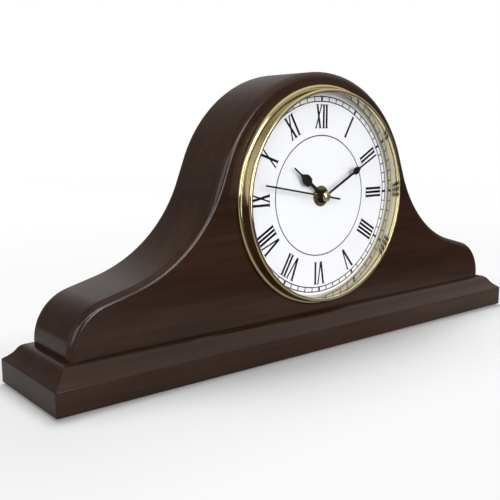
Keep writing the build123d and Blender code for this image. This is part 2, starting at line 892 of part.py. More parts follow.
def movement_cover():
    """Rear cover of the gear room with the rear bearings."""
    low, high = partition_low + cover_gap, half_size
    plate = Pos(0, hand_z + (low + high) / 2) * Rectangle(movement_size, high - low)
    outline = beside_hands(hands_at) * RectangleRounded(movement_size, movement_size, movement_corner)
    cover = between(plate & outline, cover_seat, movement_back)
    boss_front = leaf_span(intermediate_layer)[1] + boss_gap
    for at in (hands_at, third_at, intermediate_at, rotor_at):
        bearing = (second_arbor_radius if at == hands_at else pivot_radius) + running_clearance
        cover += rod(at, bearing + boss_wall, boss_front, cover_seat)
        cover -= rod(at, bearing, boss_front, cover_seat + pivot_depth)
    cover += rod(motion_at, pivot_radius + boss_wall, wheel_span(motion_layer)[1] + 2 * boss_gap, cover_seat)
    cover -= rod(set_at, set_stem_radius + running_clearance, cover_seat, movement_back)
    for at in cover_posts():
        cover -= rod(at, cover_screw_radius + passing_clearance, cover_seat, movement_back)
    return cover


def cover_screw(at):
    """Small screw that holds the cover to the shell."""
    head = rod(at, cover_screw_head_radius, movement_back, movement_back + cover_screw_head)
    slot = between(
        beside_hands(at) * Rectangle(2 * cover_screw_head_radius, cover_screw_head_radius / 4),
        movement_back + cover_screw_head / 2, movement_back + cover_screw_head,
    )
    tip = cover_seat - cover_screw_length + fit_clearance
    return head - slot + rod(at, cover_screw_radius, tip, movement_back)


def centre_bushing():
    """Brass bushing that clamps the movement to the dial and guides the hour pipe."""
    floor = inside(front_wall)
    barrel = rod(hands_at, bushing_radius, above_dial(bushing_height), floor)
    flange = rod(hands_at, bushing_flange_radius, floor - bushing_flange, floor)
    bore = rod(hands_at, hour_pipe_radius + running_clearance, above_dial(bushing_height), floor)
    return barrel + flange - bore


def rubber_washer():
    """Soft washer between the movement and the dial's backing."""
    return ring(hands_at, rubber_radius, bushing_radius + passing_clearance, backing_back, movement_front)


def dial_washer():
    """Brass washer on the dial's face."""
    bore = bushing_radius + fit_clearance
    return ring(hands_at, washer_radius, bore, above_dial(washer_thickness), dial_front)


def dial_nut():
    """Round slotted nut that clamps the dial."""
    front, back = above_dial(washer_thickness + nut_height), above_dial(washer_thickness)
    nut = ring(hands_at, nut_radius, bushing_radius + fit_clearance, front, back)
    bar = beside_hands(hands_at) * Rectangle(2 * nut_radius, nut_slot)
    slots = between(bar, front, front + nut_height / 2)
    return nut - slots


# Motor and electronics

def stator():
    """Soft iron plate that carries the flux from the coil core round the rotor."""
    hole = magnet_radius + stator_gap
    rotor_ring = Pos(*rotor_at) * Circle(hole + stator_ring)
    half_core = coil_core_width / 2
    flange_side = coil_x - bobbin_flange / 2 - coil_gap
    above_bobbin, below_bobbin = bobbin_high + coil_gap, bobbin_low - coil_gap
    top_arm = Polyline(
        rotor_at, (rotor_at[0], rotor_at[1] + hole + stator_ring), (coil_x - half_core, coil_core_high),
        (coil_x + half_core, coil_core_high), (coil_x + half_core, above_bobbin), (flange_side, above_bobbin),
        close=True,
    )
    low_arm = Polyline(
        rotor_at, (flange_side, below_bobbin), (coil_x + half_core, below_bobbin),
        (coil_x + half_core, coil_core_low), (coil_x - half_core, coil_core_low),
        (rotor_at[0], rotor_at[1] - hole - stator_ring), close=True,
    )
    plate = rotor_ring + make_face(top_arm) + make_face(low_arm) - Pos(*rotor_at) * Circle(hole)
    for at in stator_posts():
        plate -= Pos(*at) * Circle(stator_screw_radius + passing_clearance)
    return between(beside_hands(hands_at) * plate, *stator_span())


def core_span():
    """Front and back of the coil core."""
    return stator_span()[1], stator_span()[1] + coil_core_thickness


def coil_core():
    """Iron strip through the coil, lapped on the stator's arms."""
    middle = (coil_core_low + coil_core_high) / 2
    strip = Pos(coil_x, middle) * Rectangle(coil_core_width, coil_core_high - coil_core_low)
    for at in stator_posts():
        strip -= Pos(*at) * Circle(stator_screw_radius + passing_clearance)
    return between(beside_hands(hands_at) * strip, *core_span())


def coil_place(z):
    """Plan place of the coil's axis at an offset height."""
    return Pos(coil_x, sum(core_span()) / 2, hand_z + z)


def upright(sketch, low, high):
    """Solid of a plan section about the coil's axis between two offset heights."""
    return extrude(coil_place(low) * sketch, high - low)


def core_window():
    """Plan section of the hole that the coil core fills."""
    return Rectangle(coil_core_width + 2 * fit_clearance, coil_core_thickness + 2 * fit_clearance)


def bobbin_tube():
    """Plan section round the core that the wire is wound on."""
    return Rectangle(coil_core_width + 2 * bobbin_tube_wall, coil_core_thickness + 2 * bobbin_tube_wall)


def coil_bobbin():
    """Moulded bobbin with two square flanges."""
    flange = Rectangle(bobbin_flange, bobbin_flange)
    bobbin = upright(bobbin_tube(), bobbin_low, bobbin_high)
    bobbin += upright(flange, bobbin_low, bobbin_low + bobbin_flange_thickness)
    bobbin += upright(flange, bobbin_high - bobbin_flange_thickness, bobbin_high)
    return bobbin - upright(core_window(), bobbin_low, bobbin_high)


def coil_winding():
    """Enamelled copper winding, as one round bundle."""
    bundle = Circle(winding_radius) - bobbin_tube()
    return upright(bundle, bobbin_low + bobbin_flange_thickness, bobbin_high - bobbin_flange_thickness)


def stator_screw(at):
    """Screw through the coil core and stator into its post."""
    seat = core_span()[1]
    head = rod(at, stator_screw_head_radius, seat, seat + stator_screw_head)
    return head + rod(at, stator_screw_radius, inside(front_wall) + fit_clearance, seat)


def circuit_board():
    """Long board on its two posts, behind the train and above the battery."""
    end_room = contact_thickness + board_gap
    board = Pos((negative_face + positive_face) / 2, board_z) * Rectangle(
        positive_face - negative_face - 2 * end_room, board_width
    )
    return between(beside_hands(hands_at) * board, inside(board_depth), inside(board_depth + board_thickness))


def timing_chip():
    """Round sealed drop over the timing circuit, on the front of the board."""
    back = inside(board_depth)
    drop = rod((chip_offset, board_z), chip_radius, back - chip_height, back)
    return chamfer(drop.faces().sort_by(Axis.Y)[0].edges(), chip_height / 2)


def quartz_crystal():
    """Metal can of the crystal, lying on the front of the board."""
    can = Rot(0, 90, 0) * Cylinder(crystal_radius, crystal_length)
    return Pos(crystal_offset, inside(board_depth) - crystal_radius, hand_z + board_z) * can


def battery():
    """Round cell across the movement's foot."""
    body = Pos(battery_start, battery_y, hand_z - battery_drop) * Rot(0, 90, 0) * Cylinder(
        battery_radius, battery_body, align=(Align.CENTER, Align.CENTER, Align.MIN)
    )
    nub = Pos(battery_start + battery_body, battery_y, hand_z - battery_drop) * Rot(0, 90, 0) * Cylinder(
        battery_nub_radius, battery_nub_length, align=(Align.CENTER, Align.CENTER, Align.MIN)
    )
    return body + nub


def contact_strip(outer, side):
    """Flat strip at an end of the trough, with a tail to the circuit board."""
    inner = outer - side * contact_thickness
    plan = Pos((outer + inner) / 2, battery_y) * Rectangle(contact_thickness, 2 * contact_span)
    middle = hand_z - battery_drop
    strip = raised(plan, middle - contact_height / 2, middle + contact_height / 2)
    board_back = inside(board_depth + board_thickness)
    tail_front = board_back + contact_thickness - contact_tail
    tail_plan = Pos((outer + inner) / 2, board_back + contact_thickness - contact_tail / 2) * Rectangle(
        contact_thickness, contact_tail
    )
    tail = raised(tail_plan, middle, hand_z + board_z)
    foot = Pos(outer - side * contact_foot / 2, hand_z + board_z - contact_tail / 2) * Rectangle(
        contact_foot, contact_tail
    )
    link_plan = Pos((outer + inner) / 2, (tail_front + battery_y) / 2) * Rectangle(
        contact_thickness, tail_front - battery_y + contact_tail
    )
    link = raised(link_plan, middle, middle + contact_height / 2)
    return strip + link + tail + between(foot, board_back, board_back + contact_thickness)


def positive_contact():
    """End contact with a raised dimple for the cell's nub."""
    dimple = Pos(dimple_crest, battery_y, hand_z - battery_drop) * Rot(0, 90, 0) * Cylinder(
        dimple_radius, dimple_height + contact_thickness, align=(Align.CENTER, Align.CENTER, Align.MIN)
    )
    return contact_strip(positive_face, 1) + dimple


def negative_contact():
    """End contact with a bowed leaf that presses the cell along."""
    wall = negative_face
    crest = battery_start - battery_gap / 2
    low, high = battery_y - contact_span, battery_y + contact_span
    leaf = make_face([
        ThreePointArc((wall + contact_thickness, low), (crest, battery_y), (wall + contact_thickness, high)),
        Line((wall + contact_thickness, high), (wall, high)),
        ThreePointArc((wall, high), (crest - contact_thickness, battery_y), (wall, low)),
        Line((wall, low), (wall + contact_thickness, low)),
    ])
    middle = hand_z - battery_drop
    bow = raised(leaf, middle - contact_height / 2, middle + contact_height / 2)
    return contact_strip(negative_face, -1) + bow


nodes = {
    "front_panel": [front_panel()],
    "case_core": [case_core()],
    "back_panel": [back_panel()],
    "base_plinth": [base_plinth()],
    "base_felt": [base_felt()],
    "base_screws": [base_screw(side * screw_reach) for side in (-1, 1)],
    "base_dowels": [dowel(side * dowel_reach, dowel_radius) for side in (-1, 1)],
    "bezel": [bezel()],
    "lens": [lens()],
    "reflector_sleeve": [reflector_sleeve()],
    "dial_plate": [dial_plate()],
    "dial_backing": [dial_backing()],
    "dial_retaining_ring": [dial_retaining_ring()],
    "bezel_springs": [bezel_spring(90 + 360 / spring_count * place) for place in range(spring_count)],
    "hour_hand": [hour_hand()],
    "minute_hand": [minute_hand()],
    "second_hand": [second_hand()],
    "hand_cap": [hand_cap()],
    "dial_nut": [dial_nut()],
    "dial_washer": [dial_washer()],
    "rubber_washer": [rubber_washer()],
    "centre_bushing": [centre_bushing()],
    "movement_shell": [movement_shell()],
    "movement_cover": [movement_cover()],
    "cover_screws": [cover_screw(at) for at in cover_posts()],
    "hour_wheel": [hour_wheel()],
    "cannon_pinion": [cannon_pinion()],
    "friction_spring": [friction_spring()],
    "centre_wheel": [centre_wheel()],
    "motion_wheel": [motion_wheel()],
    "third_wheel": [third_wheel()],
    "second_wheel": [second_wheel()],
    "intermediate_wheel": [intermediate_wheel()],
    "rotor": [rotor()],
    "set_stem": [set_stem()],
    "set_knob": [set_knob()],
    "stator": [stator()],
    "coil_core": [coil_core()],
    "coil_bobbin": [coil_bobbin()],
    "coil_winding": [coil_winding()],
    "stator_screws": [stator_screw(at) for at in stator_posts()],
    "circuit_board": [circuit_board()],
    "timing_chip": [timing_chip()],
    "quartz_crystal": [quartz_crystal()],
    "battery": [battery()],
    "positive_contact": [positive_contact()],
    "negative_contact": [negative_contact()],
}

os.makedirs("parts", exist_ok=True)
for name, shapes in nodes.items():
    solids = [solid for shape in shapes for solid in shape.solids()]
    export_step(Compound(solids), f"parts/{name}.step")
    print(name, len(solids), "solid")
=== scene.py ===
"""Looks of a tambour mantel clock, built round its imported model.

Lengths are in metres and angles in degrees. +X runs to the right of someone facing the dial,
the front faces -Y and +Z is up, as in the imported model.
"""

import json
import logging
import math
from dataclasses import dataclass, field
from enum import Enum
from typing import Sequence

import bmesh
import bpy
from mathutils import Matrix, Vector


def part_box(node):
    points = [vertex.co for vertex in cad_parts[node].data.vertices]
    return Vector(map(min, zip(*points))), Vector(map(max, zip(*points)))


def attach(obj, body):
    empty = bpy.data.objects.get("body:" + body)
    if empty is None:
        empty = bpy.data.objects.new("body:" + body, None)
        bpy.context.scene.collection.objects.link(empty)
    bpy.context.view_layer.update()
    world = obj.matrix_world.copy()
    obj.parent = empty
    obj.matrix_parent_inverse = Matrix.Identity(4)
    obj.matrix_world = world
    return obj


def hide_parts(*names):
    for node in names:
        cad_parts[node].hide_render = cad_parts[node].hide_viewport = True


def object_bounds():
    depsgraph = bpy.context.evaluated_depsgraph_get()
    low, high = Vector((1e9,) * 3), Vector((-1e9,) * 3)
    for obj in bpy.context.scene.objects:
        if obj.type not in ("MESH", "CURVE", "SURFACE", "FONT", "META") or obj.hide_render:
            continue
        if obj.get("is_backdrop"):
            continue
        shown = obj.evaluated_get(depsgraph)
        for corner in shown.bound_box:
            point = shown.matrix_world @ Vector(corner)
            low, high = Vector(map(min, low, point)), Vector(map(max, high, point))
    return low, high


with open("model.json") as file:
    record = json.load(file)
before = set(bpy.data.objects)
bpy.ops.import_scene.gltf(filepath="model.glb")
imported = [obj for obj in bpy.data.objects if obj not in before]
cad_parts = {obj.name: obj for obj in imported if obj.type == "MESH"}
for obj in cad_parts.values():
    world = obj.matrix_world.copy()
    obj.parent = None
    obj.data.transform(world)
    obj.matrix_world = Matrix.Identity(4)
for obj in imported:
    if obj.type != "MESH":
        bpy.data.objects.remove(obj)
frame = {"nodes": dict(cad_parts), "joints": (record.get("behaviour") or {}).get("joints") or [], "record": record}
CAD_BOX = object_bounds()

LOG = logging.getLogger("mantel_clock")

Point = tuple[float, float]
Colour = tuple[float, float, float]

WHITE = (1.0, 1.0, 1.0, 1.0)
WELD_GAP = 1e-7
SLIVER = 1e-8

# The Mix node has sockets for every kind of data. These are the ones for colours.
COLOUR_MIX_INPUTS = (0, 6, 7)
COLOUR_MIX_OUTPUT = 2


class Body(str, Enum):
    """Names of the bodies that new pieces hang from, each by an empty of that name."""

    CASE = "case"
    SECONDS = "seconds_work"


class Slot(str, Enum):
    """Material slots of the record that new pieces take their finish from."""

    WOOD = "lacquered_wood"
    CORE = "core_wood"
    BEZEL = "bezel_brass"
    SLEEVE = "pale_brass"
    BRASS = "brass"
    INK = "hand_black"


class ShowFace(Enum):
    """Side of a body panel whose edge is rounded over."""

    FRONT = -1
    REAR = 1


class Ray(str, Enum):
    """Outputs of the Light Path node that tell what looks at a surface, and through how many mirrors."""

    CAMERA = "Is Camera Ray"
    GLOSSY = "Is Glossy Ray"
    TRANSMISSION = "Is Transmission Ray"
    MIRRORS = "Glossy Depth"
    SHADOW = "Is Shadow Ray"


def turned(angle: float, length: float, start: Point = (0.0, 0.0)) -> Point:
    """Finds a point at a distance from another.

    Args:
        angle: Direction, counted from the first axis towards the second.
        length: Distance from the start.
        start: Where the distance begins.

    Returns:
        The point.
    """
    bend = math.radians(angle)
    return start[0] + length * math.cos(bend), start[1] + length * math.sin(bend)


def steps(start: float, end: float, step: float) -> list[float]:
    """Divides a range evenly.

    Args:
        start: First value.
        end: Last value.
        step: Largest difference between neighbours.

    Returns:
        The values, both ends included.
    """
    count = max(1, math.ceil(abs(end - start) / step))
    return [start + (end - start) * index / count for index in range(count + 1)]


def arc(centre: Point, radius: float, start: float, end: float, step: float = 6.0) -> list[Point]:
    """Samples a round stretch of an outline.

    Args:
        centre: Middle of the circle.
        radius: Its radius.
        start: First angle.
        end: Last angle.
        step: Largest angle between neighbours.

    Returns:
        The points, both ends included.
    """
    return [turned(angle, radius, centre) for angle in steps(start, end, step)]


# Node trees

class NodeSheet:
    """Adds and links the nodes of one tree."""

    def __init__(self, tree: bpy.types.NodeTree) -> None:
        """Keeps the tree that the nodes go into."""
        self.tree = tree

    def add(self, kind: str, inputs: dict | None = None, **settings: object) -> bpy.types.Node:
        """Adds a node.

        Args:
            kind: Blender's name of the node type.
            inputs: Values or sockets for its inputs, by name or index.
            **settings: Properties of the node.

        Returns:
            The node.
        """
        node = self.tree.nodes.new(kind)
        for name, value in settings.items():
            setattr(node, name, value)
        for name, value in (inputs or {}).items():
            self.feed(node.inputs[name], value)
        return node

    def feed(self, target: bpy.types.NodeSocket, value: object) -> None:
        """Links a socket to an input, or sets the input to a plain value.

        Args:
            target: The input.
            value: Socket or plain value.
        """
        if isinstance(value, bpy.types.NodeSocket):
            self.tree.links.new(value, target)
        else:
            target.default_value = value

    def maths(self, operation: str, first: object, second: object = 0.0) -> bpy.types.NodeSocket:
        """Adds a Math node and returns its result."""
        return self.add("ShaderNodeMath", {0: first, 1: second}, operation=operation).outputs[0]

    def vectors(
        self, operation: str, first: object, second: Sequence[float] = (0.0, 0.0, 0.0)
    ) -> bpy.types.NodeOutputs:
        """Adds a Vector Math node and returns its outputs."""
        return self.add("ShaderNodeVectorMath", {0: first, 1: second}, operation=operation).outputs

    def stretched(self, vector: bpy.types.NodeSocket, scale: Sequence[float]) -> bpy.types.NodeSocket:
        """Scales a coordinate along its three axes and returns it."""
        return self.add("ShaderNodeMapping", {"Vector": vector, "Scale": scale}).outputs["Vector"]

    def noise(self, vector: object, scale: object, detail: float = 3.0) -> bpy.types.NodeSocket:
        """Adds a noise texture and returns its value."""
        inputs = {"Vector": vector, "Scale": scale, "Detail": detail}
        return self.add("ShaderNodeTexNoise", inputs).outputs["Fac"]

    def remapped(self, value: object, span: Point, result: Sequence[object]) -> bpy.types.NodeSocket:
        """Maps a value from one span to another and clamps it.

        Args:
            value: Socket or plain value.
            span: Least and most that it is expected to be.
            result: What these two become.

        Returns:
            The mapped value.
        """
        return self.add("ShaderNodeMapRange", {
            "Value": value, "From Min": span[0], "From Max": span[1],
            "To Min": result[0], "To Max": result[1],
        }).outputs["Result"]

    def blended(self, share: object, first: object, second: object) -> bpy.types.NodeSocket:
        """Mixes two colours.

        Args:
            share: How much of the second colour shows.
            first: Socket or plain colour.
            second: Socket or plain colour.

        Returns:
            The mixed colour.
        """
        node = self.add("ShaderNodeMix", data_type="RGBA")
        for index, value in zip(COLOUR_MIX_INPUTS, (share, first, second)):
            self.feed(node.inputs[index], (*value, 1.0) if isinstance(value, tuple) else value)
        return node.outputs[COLOUR_MIX_OUTPUT]


class EffectGroup(NodeSheet):
    """Shader node group that several finishes share."""

    def __init__(self, name: str, inputs: dict[str, float | None], outputs: Sequence[str]) -> None:
        """Makes the group's sockets.

        Args:
            name: Name of the group.
            inputs: Usual value of each input, or None where it is a coordinate.
            outputs: Names of the outputs.
        """
        super().__init__(bpy.data.node_groups.new(name, "ShaderNodeTree"))
        for socket, value in inputs.items():
            kind = "NodeSocketVector" if value is None else "NodeSocketFloat"
            made = self.tree.interface.new_socket(socket, in_out="INPUT", socket_type=kind)
            if value is not None:
                made.default_value = value
        for socket in outputs:
            self.tree.interface.new_socket(socket, in_out="OUTPUT", socket_type="NodeSocketFloat")
        self.given = self.tree.nodes.new("NodeGroupInput").outputs
        self.result = self.tree.nodes.new("NodeGroupOutput").inputs


@dataclass
class Effects:
    """The shared effects, each built once."""

    fibre_stretch: float = 0.07
    pore_stretch: float = 0.035
    figure_share: float = 0.7
    tone_span: Point = (0.36, 0.64)
    pore_span: Point = (0.60, 0.72)
    ridge_height: float = 0.4
    cloud_span: Point = (0.3, 0.7)
    pebbles_per_cloud: float = 22.0

    def __post_init__(self) -> None:
        """Builds every group."""
        self.grain = self.wood_grain()
        self.skin = self.uneven_skin()
        self.lathe = self.lathe_lines()

    def wood_grain(self) -> bpy.types.NodeTree:
        """Makes long fibres and short pores that run along X.

        Returns:
            The group.
        """
        group = EffectGroup(
            "wood_grain", {"Vector": None, "Figure": 26.0, "Fibre": 210.0, "Pore": 620.0},
            ("Tone", "Pores", "Height"),
        )
        along = group.stretched(group.given["Vector"], (self.fibre_stretch, 1.0, 1.0))
        dashes = group.stretched(group.given["Vector"], (self.pore_stretch, 1.0, 1.0))
        figure = group.noise(along, group.given["Figure"], detail=4.0)
        fibre = group.noise(along, group.given["Fibre"], detail=2.0)
        dash = group.noise(dashes, group.given["Pore"], detail=1.0)
        tone = group.maths("ADD", group.maths("MULTIPLY", figure, self.figure_share),
                           group.maths("MULTIPLY", fibre, 1.0 - self.figure_share))
        pores = group.remapped(dash, self.pore_span, (0.0, 1.0))
        ridges = group.maths("MULTIPLY", fibre, self.ridge_height)
        group.feed(group.result["Tone"], group.remapped(tone, self.tone_span, (0.0, 1.0)))
        group.feed(group.result["Pores"], pores)
        group.feed(group.result["Height"], group.maths("SUBTRACT", ridges, pores))
        return group.tree

    def uneven_skin(self) -> bpy.types.NodeTree:
        """Makes the cloudy change of gloss and the fine pebbling of a handled surface.

        Returns:
            The group.
        """
        group = EffectGroup(
            "uneven_skin", {"Vector": None, "Scale": 60.0, "Least": 0.3, "Most": 0.4},
            ("Gloss", "Tone", "Height"),
        )
        fine = group.maths("MULTIPLY", group.given["Scale"], self.pebbles_per_cloud)
        cloud = group.noise(group.given["Vector"], group.given["Scale"], detail=4.0)
        pebble = group.noise(group.given["Vector"], fine, detail=2.0)
        tone = group.remapped(cloud, self.cloud_span, (0.0, 1.0))
        gloss = group.remapped(tone, (0.0, 1.0), (group.given["Least"], group.given["Most"]))
        group.feed(group.result["Tone"], tone)
        group.feed(group.result["Height"], pebble)
        group.feed(group.result["Gloss"], gloss)
        return group.tree

    @staticmethod
    def lathe_lines() -> bpy.types.NodeTree:
        """Makes fine rings about the Y axis of the coordinate, as turning and polishing leave.

        Returns:
            The group.
        """
        group = EffectGroup("lathe_lines", {"Vector": None, "Fineness": 2600.0}, ("Lines",))
        parts = group.add("ShaderNodeSeparateXYZ", {"Vector": group.given["Vector"]}).outputs
        square = group.maths("ADD", group.maths("MULTIPLY", parts["X"], parts["X"]),
                             group.maths("MULTIPLY", parts["Z"], parts["Z"]))
        rings = group.add("ShaderNodeCombineXYZ", {
            "X": group.maths("SQRT", square), "Y": parts["Y"], "Z": 0.0,
        }).outputs["Vector"]
        group.feed(group.result["Lines"], group.noise(rings, group.given["Fineness"], detail=1.0))
        return group.tree


class Surface(NodeSheet):
    """Principled material under construction."""

    def __init__(self, name: str, constants: dict[str, object]) -> None:
        """Starts a material and sets what is the same all over it.

        Args:
            name: Name of the material.
            constants: Plain values for the shader's inputs.
        """
        self.material = bpy.data.materials.new(name)
        self.material.use_nodes = True
        super().__init__(self.material.node_tree)
        self.shader = self.tree.nodes["Principled BSDF"]
        self.output = self.tree.nodes["Material Output"]
        self.place = self.add("ShaderNodeTexCoord").outputs["Object"]
        for socket, value in constants.items():
            self.shader.inputs[socket].default_value = value

    def effect(self, group: bpy.types.NodeTree, **values: object) -> bpy.types.NodeOutputs:
        """Places a shared effect with this material's own values.

        Args:
            group: The effect.
            **values: What its inputs get, by name.

        Returns:
            Its outputs.
        """
        node = self.add("ShaderNodeGroup", node_tree=group)
        for name, value in {"Vector": self.place, **values}.items():
            self.feed(node.inputs[name], value)
        return node.outputs

    def bump(self, height: bpy.types.NodeSocket, strength: float, distance: float) -> None:
        """Feeds a height to the shader's normal."""
        node = self.add("ShaderNodeBump", {"Height": height, "Strength": strength, "Distance": distance})
        self.feed(self.shader.inputs["Normal"], node.outputs["Normal"])

    def paint(self, colour: bpy.types.NodeSocket, roughness: bpy.types.NodeSocket) -> None:
        """Feeds the shader's colour and roughness."""
        self.feed(self.shader.inputs["Base Color"], colour)
        self.feed(self.shader.inputs["Roughness"], roughness)


# Finishes

@dataclass(frozen=True)
class LacqueredWood:
    """Stained wood under a satin lacquer."""

    dark: Colour
    light: Colour
    least_rough: float = 0.40
    most_rough: float = 0.50
    coat: float = 1.0
    coat_rough: float = 0.18
    coat_refraction: float = 1.42
    cloud_scale: float = 14.0
    pore_tint: float = 0.55
    bump: float = 0.25
    pore_depth: float = 0.00004

    def build(self, name: str, effects: Effects) -> bpy.types.Material:
        """Makes the material.

        Args:
            name: Name of the material.
            effects: Shared node groups.

        Returns:
            The material.
        """
        surface = Surface(name, {
            "Specular IOR Level": 0.0, "Coat Weight": self.coat, "Coat Roughness": self.coat_rough,
            "Coat IOR": self.coat_refraction,
        })
        grain = surface.effect(effects.grain)
        skin = surface.effect(
            effects.skin, Scale=self.cloud_scale, Least=self.least_rough, Most=self.most_rough
        )
        stain = surface.blended(grain["Tone"], self.dark, self.light)
        tint = surface.maths("MULTIPLY", grain["Pores"], self.pore_tint)
        surface.paint(surface.blended(tint, stain, self.dark), skin["Gloss"])
        surface.bump(grain["Height"], self.bump, self.pore_depth)
        return surface.material


@dataclass(frozen=True)
class Metal:
    """Plain or plated metal with turning lines about the hands' axis."""

    dull: Colour
    bright: Colour
    least_rough: float
    most_rough: float
    line_depth: float = 0.000004
    fineness: float = 2600.0
    cloud_scale: float = 90.0
    bump: float = 0.2

    def build(self, name: str, effects: Effects) -> bpy.types.Material:
        """Makes the material.

        Args:
            name: Name of the material.
            effects: Shared node groups.

        Returns:
            The material.
        """
        surface = Surface(name, {"Metallic": 1.0})
        centred = surface.add("ShaderNodeMapping", {
            "Vector": surface.place, "Location": (0.0, 0.0, -HAND_AXIS.z),
        }).outputs["Vector"]
        lines = surface.effect(effects.lathe, Vector=centred, Fineness=self.fineness)
        skin = surface.effect(
            effects.skin, Scale=self.cloud_scale, Least=self.least_rough, Most=self.most_rough
        )
        surface.paint(surface.blended(skin["Tone"], self.dull, self.bright), skin["Gloss"])
        surface.bump(lines["Lines"], self.bump, self.line_depth)
        return surface.material


@dataclass(frozen=True)
class Coating:
    """Paint, print, plastic, rubber, board or resin."""

    low: Colour
    high: Colour
    least_rough: float
    most_rough: float
    cloud_scale: float = 70.0
    pebble_depth: float = 0.00001
    specular: float = 0.5
    sheen: float = 0.0
    bump: float = 0.3

    def build(self, name: str, effects: Effects) -> bpy.types.Material:
        """Makes the material.

        Args:
            name: Name of the material.
            effects: Shared node groups.

        Returns:
            The material.
        """
        surface = Surface(name, {"Specular IOR Level": self.specular, "Sheen Weight": self.sheen})
        skin = surface.effect(
            effects.skin, Scale=self.cloud_scale, Least=self.least_rough, Most=self.most_rough
        )
        surface.paint(surface.blended(skin["Tone"], self.low, self.high), skin["Gloss"])
        surface.bump(skin["Height"], self.bump, self.pebble_depth)
        return surface.material


@dataclass(frozen=True)
class BareWood:
    """Unfinished wood with visible fibres."""

    dark: Colour
    light: Colour
    rough: float = 0.75
    figure: float = 60.0
    fibre: float = 500.0
    bump: float = 0.4
    fibre_depth: float = 0.0001

    def build(self, name: str, effects: Effects) -> bpy.types.Material:
        """Makes the material.

        Args:
            name: Name of the material.
            effects: Shared node groups.

        Returns:
            The material.
        """
        surface = Surface(name, {"Roughness": self.rough})
        grain = surface.effect(effects.grain, Figure=self.figure, Fibre=self.fibre)
        tone = surface.blended(grain["Tone"], self.dark, self.light)
        surface.feed(surface.shader.inputs["Base Color"], tone)
        surface.bump(grain["Height"], self.bump, self.fibre_depth)
        return surface.material


@dataclass(frozen=True)
class ClearGlass:
    """Flat glass that lets the lamps through."""

    colour: Colour
    refraction: float
    cloud_scale: float = 9.0
    bump: float = 0.02
    ripple: float = 0.00001

    def build(self, name: str, effects: Effects) -> bpy.types.Material:
        """Makes the material.

        Args:
            name: Name of the material.
            effects: Shared node groups, for a faint unevenness of the polish.

        Returns:
            The material.
        """
        surface = Surface(name, {
            "Base Color": (*self.colour, 1.0), "Roughness": 0.0,
            "IOR": self.refraction, "Transmission Weight": 1.0,
        })
        skin = surface.effect(effects.skin, Scale=self.cloud_scale)
        surface.bump(skin["Tone"], self.bump, self.ripple)
        path = surface.add("ShaderNodeLightPath")
        clear = surface.add("ShaderNodeBsdfTransparent", {"Color": (*self.colour, 1.0)})
        mix = surface.add("ShaderNodeMixShader", {
            0: path.outputs[Ray.SHADOW.value], 1: surface.shader.outputs[0], 2: clear.outputs[0],
        })
        surface.feed(surface.output.inputs["Surface"], mix.outputs[0])
        return surface.material


ESPRESSO = LacqueredWood(dark=(0.0268, 0.0108, 0.0059), light=(0.0503, 0.0222, 0.0127))

FINISHES = {
    "lacquered_wood": ESPRESSO,
    "core_wood": ESPRESSO,
    "dowel_wood": BareWood((0.45, 0.30, 0.16), (0.66, 0.48, 0.29)),
    "felt": Coating((0.008, 0.008, 0.009), (0.022, 0.022, 0.024), 0.9, 1.0, 260.0, 0.0004, 0.2, 0.4),
    "steel": Metal((0.46, 0.46, 0.45), (0.60, 0.60, 0.59), 0.22, 0.34),
    "bezel_brass": Metal((0.74, 0.62, 0.345), (0.80, 0.67, 0.375), 0.08, 0.12, 0.0000004),
    "pale_brass": Metal((0.53, 0.48, 0.34), (0.57, 0.52, 0.38), 0.15, 0.19, 0.0000004),
    "brass": Metal((0.62, 0.52, 0.27), (0.70, 0.60, 0.33), 0.10, 0.18),
    "glass": ClearGlass((0.985, 0.99, 0.988), 1.4),
    "dial_white": Coating((0.84, 0.84, 0.88), (0.86, 0.86, 0.90), 0.45, 0.55, 40.0, 0.000004, 0.3),
    "backing_board": Coating((0.20, 0.13, 0.07), (0.32, 0.22, 0.13), 0.75, 0.85, 180.0, 0.0001),
    "hand_black": Coating((0.003, 0.003, 0.004), (0.005, 0.005, 0.006), 0.15, 0.21, 120.0, 0.000004),
    "spring_steel": Metal((0.34, 0.34, 0.35), (0.46, 0.46, 0.47), 0.20, 0.32),
    "rubber": Coating((0.014, 0.014, 0.014), (0.024, 0.024, 0.024), 0.70, 0.85, 160.0, 0.00004),
    "movement_plastic": Coating((0.017, 0.017, 0.018), (0.026, 0.026, 0.028), 0.42, 0.58, 110.0, 0.00004),
    "wheel_plastic": Coating((0.74, 0.72, 0.64), (0.84, 0.82, 0.74), 0.38, 0.50, 120.0),
    "knob_plastic": Coating((0.48, 0.47, 0.45), (0.58, 0.57, 0.55), 0.40, 0.52, 120.0, 0.00002),
    "magnet": Coating((0.05, 0.05, 0.055), (0.11, 0.11, 0.12), 0.50, 0.65, 300.0, 0.00005),
    "soft_iron": Metal((0.40, 0.39, 0.37), (0.52, 0.51, 0.49), 0.34, 0.46),
    "copper": Metal((0.50, 0.19, 0.08), (0.72, 0.34, 0.17), 0.24, 0.36, 0.00003, 4200.0),
    "bobbin_plastic": Coating((0.66, 0.66, 0.62), (0.76, 0.76, 0.72), 0.40, 0.52),
    "board": Coating((0.012, 0.085, 0.030), (0.020, 0.130, 0.050), 0.30, 0.45, 140.0),
    "chip_resin": Coating((0.010, 0.010, 0.010), (0.018, 0.018, 0.018), 0.16, 0.26),
    "cell_jacket": Coating((0.030, 0.032, 0.040), (0.044, 0.046, 0.055), 0.20, 0.30, 50.0),
}


# Pieces

